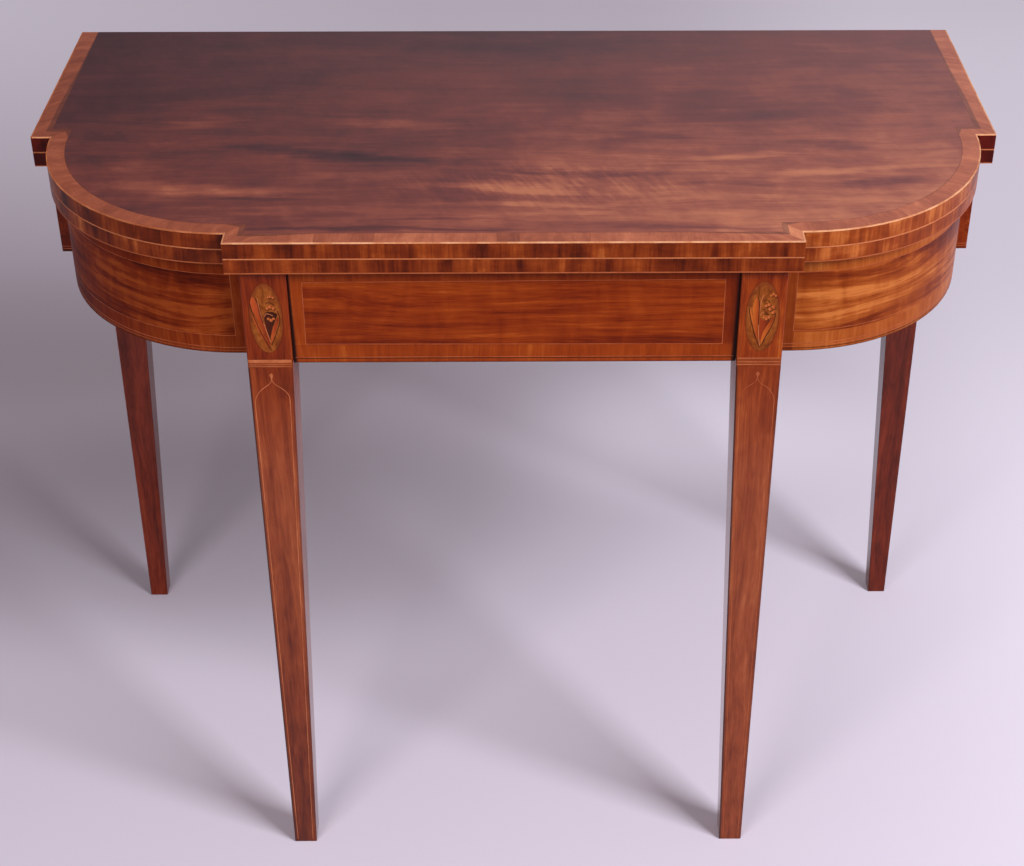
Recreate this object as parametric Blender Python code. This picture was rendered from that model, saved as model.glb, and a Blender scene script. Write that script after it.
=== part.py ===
"""A card table with a folding top, stepped round corners and two gate legs, in metres.

The origin is on the floor under the middle of the table. +X is to the right, +Y to the back, +Z up.
The table is shown closed: the flap lies on the lower leaf and both gates lie along the back.
"""

import math

import bmesh
import bpy
from mathutils import Vector

# Overall sizes
table_height = 0.740
top_width = 0.915
top_depth = 0.4575

# Leaves
leaf_thickness = 0.0152
leaf_gap = 0.0003
ear_width = 0.0187
front_step = 0.0175
corner_radius = 0.1885
edge_band_thickness = 0.0012
string_height = 0.0011
crossband_width = 0.0170
crossband_thickness = 0.0012
baize_border = 0.042
baize_back_border = 0.010
baize_thickness = 0.0011

# Fits: touching pieces keep the joint gap, and cutters run past a face by the overrun
joint_gap = 0.0003
gate_clearance = 0.0008
finger_clearance = 0.0004
overrun = 0.001

# Frieze
frieze_height = 0.098
side_overhang = 0.0110
front_overhang = 0.0094
curve_overhang = 0.0108
rail_thickness = 0.022
rail_setback = 0.0050
front_rail_drop = 0.0018
tenon_thickness = 0.008
tenon_length = 0.016
tenon_shoulder = 0.012
side_tenon_length = 0.012

# Front legs
front_leg_width = 0.0405
front_leg_depth = 0.046
front_foot_width = 0.0232
front_foot_depth = 0.0235
leg_arris = 0.0006

# Rear legs and gates
rear_leg_width = 0.041
rear_leg_depth = 0.037
rear_foot_width = 0.0205
rear_foot_depth = 0.0205
rear_leg_inset = 0.0013
rear_leg_splay = 0.0048
rear_leg_back_inset = 0.0005
rear_tenon_length = 0.020
gate_pin_offset = 0.130
gate_pin_radius = 0.003
knuckle_shoulder = 0.0006

# Inlays of the front legs
oval_width = 0.0295
oval_top_margin = 0.0142
oval_bottom_margin = 0.0118
oval_thickness = 0.0010
band_height = 0.0085
band_thickness = 0.0010
band_rise = 0.0045

# Brass hinges
plate_length = 0.062
plate_height = 0.0085
plate_thickness = 0.0026
eye_radius = 0.0042
hinge_pin_radius = 0.0011

# Screws
hinge_screw_head_radius = 0.0024
hinge_screw_radius = 0.0012
hinge_screw_length = 0.014
top_screw_head_radius = 0.0040
top_screw_radius = 0.0020
top_screw_bite = 0.009
knuckle_screw_bite = 0.012
knuckle_screw_offset = 0.065
screw_head_share = 0.6
screw_tip_share = 0.35
screw_slot_share = 0.28

# Blocks and brace under the top
glue_block_length = 0.055
glue_block_size = 0.017
corner_block_width = 0.038
corner_block_depth = 0.042
brace_thickness = 0.020
brace_height = 0.070

# Shares that set places along a piece
hinge_screw_shares = (0.34, 0.82)
glue_block_shares = (-0.62, 0.62)
knuckle_screw_shares = (0.28, 0.72)

# Steps round curves
corner_steps = 24
eye_steps = 10
knuckle_steps = 9
pin_sides = 16
screw_sides = 12
oval_sides = 36
knuckle_fingers = 5

# Heights that follow from the sizes
upper_high = table_height
upper_low = upper_high - leaf_thickness
lower_high = upper_low - leaf_gap
lower_low = lower_high - leaf_thickness
frieze_high = lower_low - joint_gap
frieze_low = frieze_high - frieze_height
gate_high = frieze_high - gate_clearance
hinge_z = (upper_low + lower_high) / 2
bar_middle = (leaf_thickness + leaf_gap) / 2

# Places in plan that follow from the sizes
top_half = top_width / 2
front_half = top_half - ear_width - corner_radius
front_y = -(top_depth + leaf_gap / 2 + eye_radius) / 2
back_y = front_y + top_depth
ear_y = front_y + front_step + corner_radius
hinge_y = back_y + leaf_gap / 2
leg_face_y = front_y + front_overhang
rail_face_y = leg_face_y + rail_setback
rail_back_y = rail_face_y + rail_thickness
leg_outer_x = front_half - side_overhang
leg_inner_x = leg_outer_x - front_leg_width
side_outer_x = top_half - side_overhang
side_inner_x = side_outer_x - rail_thickness
side_front_y = ear_y + front_overhang
apron_radius = corner_radius - curve_overhang
apron_face_y = ear_y - apron_radius
gate_front_y = back_y - rear_leg_back_inset - rear_leg_depth
gate_back_y = gate_front_y + rail_thickness
gate_middle_y = gate_front_y + rail_thickness / 2
back_rail_back_y = gate_front_y - joint_gap
back_rail_front_y = back_rail_back_y - rail_thickness
rear_leg_outer_x = top_half - rear_leg_inset
rear_leg_inner_x = rear_leg_outer_x - rear_leg_width

# Finishes: colour, roughness and metallic value
MAHOGANY = ("mahogany", (0.30, 0.085, 0.045), 0.30, 0.0)
MAHOGANY_RAIL = ("mahogany_rail", (0.36, 0.10, 0.035), 0.30, 0.0)
CROSSBAND = ("crossband", (0.45, 0.16, 0.06), 0.32, 0.0)
BOXWOOD = ("boxwood", (0.72, 0.42, 0.20), 0.35, 0.0)
MARQUETRY = ("marquetry", (0.36, 0.20, 0.06), 0.35, 0.0)
CARCASE = ("carcase_wood", (0.50, 0.33, 0.17), 0.65, 0.0)
BAIZE = ("baize", (0.05, 0.20, 0.09), 0.95, 0.0)
BRASS = ("brass", (0.70, 0.50, 0.20), 0.32, 1.0)
IRON = ("iron", (0.22, 0.21, 0.20), 0.45, 1.0)


def clear_scene():
    for obj in list(bpy.data.objects):
        bpy.data.objects.remove(obj)


def add_holder(name, place):
    """An empty that carries the pieces of one body; for a moving body it is on the hinge's axis."""
    holder = bpy.data.objects.new(name, None)
    holder.location = place
    bpy.context.collection.objects.link(holder)
    return holder


def principled(finish):
    name, colour, roughness, metallic = finish
    material = bpy.data.materials.get(name)
    if material is None:
        material = bpy.data.materials.new(name)
        material.use_nodes = True
        shader = material.node_tree.nodes["Principled BSDF"]
        shader.inputs["Base Color"].default_value = (*colour, 1)
        shader.inputs["Roughness"].default_value = roughness
        shader.inputs["Metallic"].default_value = metallic
    return material


def middle_of(bm):
    """The centre of the box round a mesh."""
    corners = [[pick(v.co[i] for v in bm.verts) for i in range(3)] for pick in (min, max)]
    return (Vector(corners[0]) + Vector(corners[1])) / 2


def make_object(bm, name, holder):
    """Turns a mesh built in world coordinates into an object whose origin is at its own centre."""
    bmesh.ops.recalc_face_normals(bm, faces=bm.faces)
    centre = middle_of(bm)
    bmesh.ops.translate(bm, verts=bm.verts, vec=-centre)
    mesh = bpy.data.meshes.new(name)
    bm.to_mesh(mesh)
    bm.free()
    obj = bpy.data.objects.new(name, mesh)
    bpy.context.collection.objects.link(obj)
    obj.parent = holder
    obj.location = centre - holder.location
    return obj


def make_piece(bm, name, finish, holder, smooth=False):
    obj = make_object(bm, name, holder)
    obj.data.materials.append(principled(finish))
    if smooth:
        obj.data.shade_smooth()
        obj.data.set_sharp_from_angle(angle=math.radians(30))
    return obj


def cut(obj, bm, name):
    """Cuts the mesh from the piece by a Boolean modifier, whose cutter stays as a hidden helper."""
    cutter = make_object(bm, f"{obj.name}_{name}", obj.parent)
    cutter.hide_render = True
    cutter.display_type = "WIRE"
    modifier = obj.modifiers.new(name, "BOOLEAN")
    modifier.operation = "DIFFERENCE"
    modifier.solver = "EXACT"
    modifier.object = cutter


def ease_arrises(obj):
    """Takes the sharpness off a piece's long edges."""
    modifier = obj.modifiers.new("arris", "BEVEL")
    modifier.width = leg_arris
    modifier.segments = 1
    modifier.limit_method = "ANGLE"


def add_loft(bm, rings):
    """A closed solid through rings of points, each ring with as many points as the first."""
    rows = [[bm.verts.new(point) for point in ring] for ring in rings]
    count = len(rows[0])
    for near, far in zip(rows, rows[1:]):
        for i in range(count):
            j = (i + 1) % count
            bm.faces.new((near[i], near[j], far[j], far[i]))
    bm.faces.new(rows[0][::-1])
    bm.faces.new(rows[-1])


def along_axis(axis, distance, pair):
    """A point with the distance on one axis and the pair on the other two, in X, Y, Z order."""
    point = list(pair)
    point.insert("XYZ".index(axis), distance)
    return point


def add_prism(bm, outline, start, end, axis="Z"):
    add_loft(bm, [[along_axis(axis, distance, pair) for pair in outline] for distance in (start, end)])


def add_box(bm, low, high):
    outline = [(low[0], low[1]), (high[0], low[1]), (high[0], high[1]), (low[0], high[1])]
    add_prism(bm, outline, low[2], high[2])


def prism(outline, start, end, axis="Z"):
    bm = bmesh.new()
    add_prism(bm, outline, start, end, axis)
    return bm


def box(low, high):
    bm = bmesh.new()
    add_box(bm, low, high)
    return bm


def arc(centre, radius, start, sweep, steps):
    angles = [start + sweep * i / steps for i in range(steps + 1)]
    return [(centre[0] + radius * math.cos(a), centre[1] + radius * math.sin(a)) for a in angles]


def round_outline(centre, radius, sides):
    return arc(centre, radius, 0, math.tau, sides)[:-1]


def span(side, inner, outer):
    """A stretch in x on the right (side 1) or mirrored on the left (side -1), lower end first."""
    return sorted((side * inner, side * outer))


def side_name(side):
    return "right" if side > 0 else "left"


def without_repeats(points):
    kept = [points[0]]
    for point in points[1:]:
        if math.dist(point, kept[-1]) > joint_gap / 2:
            kept.append(point)
    return kept


def half_outline(inset, back):
    """The right half of the top's edge drawn in by inset, from the back line round to the front."""
    radius = corner_radius - inset
    points = [(top_half - inset, back), (top_half - inset, ear_y + inset)]
    points.append((front_half + radius, ear_y + inset))
    points += arc((front_half, ear_y), radius, 0, -math.pi / 2, corner_steps)
    points += [(front_half - inset, ear_y - radius), (front_half - inset, front_y + inset)]
    return without_repeats(points)


def top_outline(inset, back=back_y):
    right = half_outline(inset, back)
    return right + [(-x, y) for x, y in reversed(right)]


def ribbon_outline(outer_inset, inner_inset):
    """A strip that follows the sides and the front of the top between two insets."""
    return top_outline(outer_inset) + top_outline(inner_inset)[::-1]


def surround_outline(inset):
    """All that lies outside the inset outline at the sides and the front, as far as past the top."""
    far_x = top_half + overrun
    far_front = front_y - overrun
    far_back = back_y + overrun
    around = [(far_x, far_back), (far_x, far_front), (-far_x, far_front), (-far_x, far_back)]
    return around + top_outline(inset, far_back)[::-1]


def add_screw(bm, head, axis, way, sizes, grow=0.0):
    """A countersunk screw whose head's flat face is centred at head, pointing along the axis."""
    head_radius, radius, length = sizes
    head_length = head_radius * screw_head_share
    profile = [
        (-grow, head_radius + grow),
        (head_length, radius + grow),
        (length - radius, radius + grow),
        (length + grow, radius * screw_tip_share + grow),
    ]
    place = list(head)
    start = place.pop("XYZ".index(axis))
    rings = []
    for distance, ring_radius in profile:
        outline = round_outline(place, ring_radius, screw_sides)
        rings.append([along_axis(axis, start + way * distance, pair) for pair in outline])
    add_loft(bm, rings)


def add_slot(bm, head, axis, way, sizes):
    """The driver slot across a screw's head, parallel to the lowest of the other two axes."""
    head_radius = sizes[0]
    half_width = head_radius * screw_slot_share / 2
    depth = head_radius * screw_slot_share
    reach = head_radius + overrun
    place = list(head)
    start = place.pop("XYZ".index(axis))
    a, b = place
    outline = [(a - reach, b - half_width), (a + reach, b - half_width)]
    outline += [(a + reach, b + half_width), (a - reach, b + half_width)]
    add_prism(bm, outline, start - way * overrun, start + way * depth, axis)


def make_screws(name, places, axis, sizes, finish, holder):
    """Like screws, numbered: places holds each head's point and the way that the screw points."""
    for number, (head, way) in enumerate(places, 1):
        screw = bmesh.new()
        add_screw(screw, head, axis, way, sizes)
        slot = bmesh.new()
        add_slot(slot, head, axis, way, sizes)
        cut(make_piece(screw, f"{name}_{number}", finish, holder, smooth=True), slot, "slot")


def screw_holes(places, axis, sizes):
    bm = bmesh.new()
    for head, way in places:
        add_screw(bm, head, axis, way, sizes, grow=joint_gap)
    return bm


hinge_screw_sizes = (hinge_screw_head_radius, hinge_screw_radius, hinge_screw_length)
top_screw_length = glue_block_size + joint_gap + top_screw_bite
top_screw_sizes = (top_screw_head_radius, top_screw_radius, top_screw_length)
knuckle_screw_length = rail_thickness + joint_gap + knuckle_screw_bite
knuckle_screw_sizes = (top_screw_head_radius, top_screw_radius, knuckle_screw_length)


def hinge_screw_places(up, sides=(-1, 1)):
    """Heads on the outer face of the plates let into the upper (up 1) or lower (up -1) leaf."""
    z = hinge_z + up * bar_middle
    places = []
    for side in sides:
        for share in hinge_screw_shares:
            places.append(((side * top_half, hinge_y - plate_length * share, z), -side))
    return places


def glue_block_boxes():
    """The blocks in the angle between the lower leaf and the front and back rails."""
    half = glue_block_length / 2
    low, high = frieze_high - glue_block_size, frieze_high
    boxes = []
    for share in glue_block_shares:
        x = leg_inner_x * share
        front = rail_back_y + joint_gap
        boxes.append(((x - half, front, low), (x + half, front + glue_block_size, high)))
        back = back_rail_front_y - joint_gap
        boxes.append(((x - half, back - glue_block_size, low), (x + half, back, high)))
    return boxes


def top_screw_places():
    """Heads in the middle of the underside of each glue block, pointing up into the lower leaf."""
    places = []
    for low, high in glue_block_boxes():
        places.append((((low[0] + high[0]) / 2, (low[1] + high[1]) / 2, low[2]), 1))
    return places


def knuckle_screw_places():
    height = gate_high - frieze_low
    return [
        ((x, gate_back_y, frieze_low + height * share), -1)
        for x in (-knuckle_screw_offset, knuckle_screw_offset)
        for share in knuckle_screw_shares
    ]


def plate_outline(up, grow, rear):
    """A hinge plate from the side, as (y, z) points: a bar along the leaf and an eye round the axis."""
    radius = eye_radius + grow
    low = bar_middle - plate_height / 2 - grow
    high = bar_middle + plate_height / 2 + grow
    front = -plate_length - grow
    under_eye = arc((0, 0), radius, math.pi, math.pi, eye_steps)
    behind_eye = arc((0, 0), radius, 0, math.acos(rear / radius), eye_steps // 2)
    points = [(front, high), (front, low), (-radius, low), *under_eye, *behind_eye[1:], (rear, high)]
    return [(hinge_y + y, hinge_z + up * z) for y, z in points]


def hinge_pockets(up):
    """The hollows in both side edges of a leaf that hold its plate and clear the other plate's eye."""
    bm = bmesh.new()
    for side in (-1, 1):
        near, far = span(side, top_half - plate_thickness - joint_gap, top_half + overrun)
        add_prism(bm, plate_outline(up, joint_gap, overrun), near, far, "X")
    return bm


def add_baize_recess(bm, face, way):
    """The hollow for the baize in a leaf's inner face; way is 1 where the leaf is under the face."""
    outline = top_outline(baize_border - joint_gap, back_y - baize_back_border + joint_gap)
    depth = baize_thickness + joint_gap
    start, end = sorted((face - way * depth, face + way * overrun))
    add_prism(bm, outline, start, end)


def make_leaf(name, low, high, up, holder):
    """A leaf's core, inside the crossbanded edge, with its baize recess and its hinge pockets."""
    outline = top_outline(edge_band_thickness + joint_gap)
    leaf = make_piece(prism(outline, low, high), name, MAHOGANY, holder)
    cuts = hinge_pockets(up)
    add_baize_recess(cuts, low if up > 0 else high, -up)
    cut(leaf, cuts, "recesses")
    cut(leaf, screw_holes(hinge_screw_places(up), "X", hinge_screw_sizes), "hinge_screw_holes")
    return leaf


def make_lower_leaf(frame):
    leaf = make_leaf("lower_leaf", lower_low, lower_high, -1, frame)
    cut(leaf, screw_holes(top_screw_places(), "Z", top_screw_sizes), "top_screw_holes")
    band = ribbon_outline(0, edge_band_thickness)
    string_low = lower_low + string_height
    string_high = lower_high - string_height
    edge = prism(band, string_low + joint_gap, string_high - joint_gap)
    cut(make_piece(edge, "lower_leaf_edge_band", CROSSBAND, frame), hinge_pockets(-1), "hinge_pockets")
    make_piece(prism(band, lower_low, string_low), "lower_leaf_bottom_string", BOXWOOD, frame)
    top_string = make_piece(prism(band, string_high, lower_high), "lower_leaf_top_string", BOXWOOD, frame)
    cut(top_string, hinge_pockets(-1), "hinge_pockets")


def make_upper_leaf(flap):
    leaf = make_leaf("upper_leaf", upper_low, upper_high, 1, flap)
    ledge = upper_high - crossband_thickness - joint_gap
    seat = prism(surround_outline(crossband_width + joint_gap), ledge, upper_high + overrun)
    cut(leaf, seat, "crossband_seat")
    band = ribbon_outline(0, edge_band_thickness)
    string_low = upper_high - string_height
    edge = prism(band, upper_low, string_low - joint_gap)
    cut(make_piece(edge, "upper_leaf_edge_band", CROSSBAND, flap), hinge_pockets(1), "hinge_pockets")
    make_piece(prism(band, string_low, upper_high), "upper_leaf_string", BOXWOOD, flap)
    crossband = ribbon_outline(edge_band_thickness + joint_gap, crossband_width)
    low = upper_high - crossband_thickness
    make_piece(prism(crossband, low, upper_high), "upper_leaf_crossband", CROSSBAND, flap)


def make_baize(name, holder, low):
    outline = top_outline(baize_border, back_y - baize_back_border)
    make_piece(prism(outline, low, low + baize_thickness), name, BAIZE, holder)


def make_plate(side, up, holder):
    """A hinge plate; at the eye it keeps only its own layer, the outer one on the upper leaf."""
    near, far = span(side, top_half - plate_thickness, top_half)
    level = "upper" if up > 0 else "lower"
    name = f"{side_name(side)}_{level}_hinge_plate"
    outline = plate_outline(up, 0.0, -leaf_gap / 2)
    plate = make_piece(prism(outline, near, far, "X"), name, BRASS, holder, smooth=True)
    lap_x = top_half - plate_thickness / 2 - up * joint_gap / 2
    open_x = top_half - plate_thickness - overrun if up > 0 else top_half + overrun
    near, far = span(side, lap_x + up * joint_gap, open_x)
    around_eye = round_outline((hinge_y, hinge_z), eye_radius + joint_gap, pin_sides * 2)
    cut(plate, prism(around_eye, near, far, "X"), "lap")
    holes = screw_holes(hinge_screw_places(up, (side,)), "X", hinge_screw_sizes)
    near, far = span(side, top_half - plate_thickness - overrun, top_half + overrun)
    pin_hole = round_outline((hinge_y, hinge_z), hinge_pin_radius + joint_gap, pin_sides)
    add_prism(holes, pin_hole, near, far, "X")
    cut(plate, holes, "holes")


def make_hinge_pin(side, frame):
    near, far = span(side, top_half - plate_thickness, top_half)
    pin = prism(round_outline((hinge_y, hinge_z), hinge_pin_radius, pin_sides), near, far, "X")
    make_piece(pin, f"{side_name(side)}_hinge_pin", BRASS, frame, smooth=True)


def make_hinges(frame, flap):
    for side in (-1, 1):
        make_plate(side, -1, frame)
        make_plate(side, 1, flap)
        make_hinge_pin(side, frame)
    make_screws("lower_hinge_screw", hinge_screw_places(-1), "X", hinge_screw_sizes, BRASS, frame)
    make_screws("upper_hinge_screw", hinge_screw_places(1), "X", hinge_screw_sizes, BRASS, flap)


def section(x, near_y, far_y, low, high):
    """A rectangle across a rail that runs along X."""
    return [(x, near_y, low), (x, far_y, low), (x, far_y, high), (x, near_y, high)]


def tenon_section(x, near_y, far_y, grow=0.0):
    """The section of a tenon that stands in the middle of a rail's thickness."""
    middle = (near_y + far_y) / 2
    half = tenon_thickness / 2 + grow
    low = frieze_low + tenon_shoulder - grow
    high = frieze_high - tenon_shoulder + grow
    return section(x, middle - half, middle + half, low, high)


def tenoned_rail(half_length, length, near_y, far_y, low):
    """A rail across the table, from the height low up to the top, with a tenon at each end."""
    rings = []
    for side in (-1, 1):
        shoulder = side * half_length
        tip = side * (half_length + length)
        end = [tenon_section(tip, near_y, far_y), tenon_section(shoulder, near_y, far_y)]
        end.append(section(shoulder, near_y, far_y, low, frieze_high))
        rings += end if side < 0 else end[::-1]
    bm = bmesh.new()
    add_loft(bm, rings)
    return bm


def mortise(start, depth, near_y, far_y):
    """The hole for a tenon, from start into the wood by depth; depth is negative towards -X."""
    mouth = start - math.copysign(overrun, depth)
    bottom = start + depth + math.copysign(joint_gap, depth)
    bm = bmesh.new()
    add_loft(bm, [tenon_section(x, near_y, far_y, joint_gap) for x in (mouth, bottom)])
    return bm


def make_front_rail(frame):
    """The front rail, which reaches a little lower than the aprons beside it."""
    low = frieze_low - front_rail_drop
    bm = tenoned_rail(leg_inner_x - joint_gap, tenon_length, rail_face_y, rail_back_y, low)
    make_piece(bm, "front_rail", MAHOGANY_RAIL, frame)


def make_back_rail(frame):
    half_length = side_inner_x - joint_gap
    bm = tenoned_rail(half_length, side_tenon_length, back_rail_front_y, back_rail_back_y, frieze_low)
    rail = make_piece(bm, "back_rail", CARCASE, frame)
    cut(rail, screw_holes(knuckle_screw_places(), "Y", knuckle_screw_sizes), "screw_holes")


def apron_section(radius_in, radius_out, angle, low, high):
    """A section of the curved apron at an angle from straight ahead of the corner's centre."""
    points = []
    for radius, z in ((radius_out, low), (radius_in, low), (radius_in, high), (radius_out, high)):
        points.append((front_half + radius * math.sin(angle), ear_y - radius * math.cos(angle), z))
    return points


def apron_rings():
    """Sections of the right apron, from its tenon in the front leg round to the side rail's front end."""
    shoulder = leg_outer_x + joint_gap
    near_y, far_y = apron_face_y, apron_face_y + rail_thickness
    rings = [tenon_section(shoulder - tenon_length, near_y, far_y), tenon_section(shoulder, near_y, far_y)]
    rings.append(section(shoulder, near_y, far_y, frieze_low, frieze_high))
    radius_in = apron_radius - rail_thickness
    for i in range(corner_steps + 1):
        angle = math.pi / 2 * i / corner_steps
        rings.append(apron_section(radius_in, apron_radius, angle, frieze_low, frieze_high))
    end = side_front_y - joint_gap
    rings.append([(x, end, z) for x, y, z in rings[-1]])
    return rings


def make_apron(side, frame):
    bm = bmesh.new()
    add_loft(bm, [[(side * x, y, z) for x, y, z in ring] for ring in apron_rings()])
    make_piece(bm, f"{side_name(side)}_apron", MAHOGANY_RAIL, frame, smooth=True)


def make_side_rail(side, frame):
    near, far = span(side, side_inner_x, side_outer_x)
    bm = box((near, side_front_y, frieze_low), (far, back_rail_back_y, frieze_high))
    rail = make_piece(bm, f"{side_name(side)}_side_rail", MAHOGANY_RAIL, frame)
    hole = mortise(side * side_inner_x, side * side_tenon_length, back_rail_front_y, back_rail_back_y)
    cut(rail, hole, "back_rail_mortise")


def make_corner_block(side, frame):
    near, far = span(side, side_inner_x - joint_gap - corner_block_width, side_inner_x - joint_gap)
    front = side_front_y
    bm = box((near, front, frieze_low + tenon_shoulder), (far, front + corner_block_depth, frieze_high))
    make_piece(bm, f"{side_name(side)}_corner_block", CARCASE, frame)


def make_brace(frame):
    half = brace_thickness / 2
    near = (-half, rail_back_y + joint_gap, frieze_high - brace_height)
    far = (half, back_rail_front_y - joint_gap, frieze_high)
    make_piece(box(near, far), "cross_brace", CARCASE, frame)


def make_glue_blocks(frame):
    places = top_screw_places()
    for number, ((low, high), place) in enumerate(zip(glue_block_boxes(), places), 1):
        block = make_piece(box(low, high), f"glue_block_{number}", CARCASE, frame)
        cut(block, screw_holes([place], "Z", top_screw_sizes), "screw_hole")
    make_screws("top_screw", places, "Z", top_screw_sizes, IRON, frame)


def leg_section(z, x_range, y_range):
    (left, right), (front, back) = x_range, y_range
    return [(left, front, z), (right, front, z), (right, back, z), (left, back, z)]


def oval_outline(grow):
    """The marquetry oval's edge on the right leg's face, as (x, z) points."""
    low = frieze_low + oval_bottom_margin
    high = frieze_high - oval_top_margin
    middle_x = (leg_outer_x + leg_inner_x) / 2
    middle_z = (low + high) / 2
    half_x, half_z = oval_width / 2 + grow, (high - low) / 2 + grow
    return [(middle_x + half_x * x, middle_z + half_z * z) for x, z in round_outline((0, 0), 1, oval_sides)]


def mirrored(outline, side):
    return [(side * x, other) for x, other in outline]


def leg_band_box(side, grow):
    near, far = span(side, leg_inner_x, leg_outer_x)
    high = frieze_low + band_rise + grow
    low = frieze_low + band_rise - band_height - grow
    reach = overrun if grow else -leg_arris
    front = leg_face_y - (overrun if grow else 0)
    return box((near - reach, front, low), (far + reach, leg_face_y + band_thickness + grow, high))


def make_front_leg(side, frame):
    """A leg that tapers on its inner and back faces below the frieze and stands plumb on the others."""
    foot_x = span(side, leg_outer_x - front_foot_width, leg_outer_x)
    stile_x = span(side, leg_inner_x, leg_outer_x)
    foot_y = (leg_face_y, leg_face_y + front_foot_depth)
    stile_y = (leg_face_y, leg_face_y + front_leg_depth)
    bm = bmesh.new()
    rings = [leg_section(0, foot_x, foot_y)]
    rings += [leg_section(z, stile_x, stile_y) for z in (frieze_low, frieze_high)]
    add_loft(bm, rings)
    name = side_name(side)
    leg = make_piece(bm, f"{name}_front_leg", MAHOGANY_RAIL, frame)
    ease_arrises(leg)
    hole = mortise(side * leg_inner_x, side * tenon_length, rail_face_y, rail_back_y)
    cut(leg, hole, "front_rail_mortise")
    apron_back_y = apron_face_y + rail_thickness
    hole = mortise(side * leg_outer_x, -side * tenon_length, apron_face_y, apron_back_y)
    cut(leg, hole, "apron_mortise")
    depth = leg_face_y + oval_thickness + joint_gap
    seat = prism(mirrored(oval_outline(joint_gap), side), leg_face_y - overrun, depth, "Y")
    cut(leg, seat, "oval_seat")
    cut(leg, leg_band_box(side, joint_gap), "band_seat")
    oval = prism(mirrored(oval_outline(0.0), side), leg_face_y, leg_face_y + oval_thickness, "Y")
    make_piece(oval, f"{name}_marquetry_oval", MARQUETRY, frame, smooth=True)
    make_piece(leg_band_box(side, 0.0), f"{name}_leg_band", BOXWOOD, frame)


def make_rear_leg(side, gate):
    """A leg that leans out and tapers to its foot, with the fly rail tenoned into its inner face."""
    foot_outer = rear_leg_outer_x + rear_leg_splay
    foot_x = span(side, foot_outer - rear_foot_width, foot_outer)
    stile_x = span(side, rear_leg_inner_x, rear_leg_outer_x)
    foot_y = (gate_front_y, gate_front_y + rear_foot_depth)
    stile_y = (gate_front_y, gate_front_y + rear_leg_depth)
    bm = bmesh.new()
    rings = [leg_section(0, foot_x, foot_y)]
    rings += [leg_section(z, stile_x, stile_y) for z in (frieze_low, gate_high)]
    add_loft(bm, rings)
    leg = make_piece(bm, f"{side_name(side)}_rear_leg", MAHOGANY_RAIL, gate)
    ease_arrises(leg)
    hole = mortise(side * rear_leg_inner_x, side * rear_tenon_length, gate_front_y, gate_back_y)
    cut(leg, hole, "fly_rail_mortise")


def knuckle_rings(pin_x, way):
    """Sections of a rail's round end about a gate's pin, from the tip inwards; way points at the tip."""
    radius = rail_thickness / 2
    step = math.pi / knuckle_steps
    rings = []
    for i in range(knuckle_steps // 2 + 1):
        angle = step * (i + 1 / 2)
        half = radius * math.sin(angle)
        x = pin_x + way * radius * math.cos(angle)
        rings.append(section(x, gate_middle_y - half, gate_middle_y + half, frieze_low, gate_high))
    return rings


def knuckle_notches(pin_x, way, levels):
    """Cuts out the levels of a rail's end that the other rail's fingers fill."""
    level = (gate_high - frieze_low) / knuckle_fingers
    last = knuckle_fingers - 1
    reach = rail_thickness / 2
    near, far = sorted((pin_x + way * (reach + overrun), pin_x - way * (reach + knuckle_shoulder)))
    bm = bmesh.new()
    for i in levels:
        low = frieze_low + level * i - (finger_clearance / 2 if i else overrun)
        high = frieze_low + level * (i + 1) + (overrun if i == last else finger_clearance / 2)
        add_box(bm, (near, gate_front_y - overrun, low), (far, gate_back_y + overrun, high))
    return bm


def pin_hole(pin_x):
    outline = round_outline((pin_x, gate_middle_y), gate_pin_radius + joint_gap, pin_sides)
    return prism(outline, frieze_low - overrun, gate_high + overrun)


def make_knuckle_rail(frame):
    """The fixed rail on the back rail, with the fingers that carry both gates."""
    bm = bmesh.new()
    add_loft(bm, knuckle_rings(-gate_pin_offset, -1) + knuckle_rings(gate_pin_offset, 1)[::-1])
    rail = make_piece(bm, "knuckle_rail", CARCASE, frame)
    for side in (-1, 1):
        pin_x = side * gate_pin_offset
        cut(rail, knuckle_notches(pin_x, side, range(1, knuckle_fingers, 2)), f"{side_name(side)}_notches")
        cut(rail, pin_hole(pin_x), f"{side_name(side)}_pin_hole")
    cut(rail, screw_holes(knuckle_screw_places(), "Y", knuckle_screw_sizes), "screw_holes")
    make_screws("knuckle_rail_screw", knuckle_screw_places(), "Y", knuckle_screw_sizes, IRON, frame)


def make_fly_rail(side, gate):
    """The rail of a gate, from its fingers on the pin to its tenon in the rear leg."""
    pin_x = side * gate_pin_offset
    shoulder = side * (rear_leg_inner_x - joint_gap)
    tip = shoulder + side * rear_tenon_length
    rings = knuckle_rings(pin_x, -side)
    rings.append(section(shoulder, gate_front_y, gate_back_y, frieze_low, gate_high))
    rings += [tenon_section(x, gate_front_y, gate_back_y) for x in (shoulder, tip)]
    bm = bmesh.new()
    add_loft(bm, rings)
    rail = make_piece(bm, f"{side_name(side)}_fly_rail", CARCASE, gate)
    cut(rail, knuckle_notches(pin_x, -side, range(0, knuckle_fingers, 2)), "notches")
    cut(rail, pin_hole(pin_x), "pin_hole")


def make_knuckle_pin(side, frame):
    outline = round_outline((side * gate_pin_offset, gate_middle_y), gate_pin_radius, pin_sides)
    pin = prism(outline, frieze_low, gate_high)
    make_piece(pin, f"{side_name(side)}_knuckle_pin", IRON, frame, smooth=True)


def make_frame(frame):
    make_lower_leaf(frame)
    make_baize("lower_leaf_baize", frame, lower_high - baize_thickness)
    make_front_rail(frame)
    make_back_rail(frame)
    make_knuckle_rail(frame)
    make_brace(frame)
    make_glue_blocks(frame)
    for side in (-1, 1):
        make_front_leg(side, frame)
        make_apron(side, frame)
        make_side_rail(side, frame)
        make_corner_block(side, frame)
        make_knuckle_pin(side, frame)


def make_flap(flap):
    make_upper_leaf(flap)
    make_baize("upper_leaf_baize", flap, upper_low)


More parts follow.
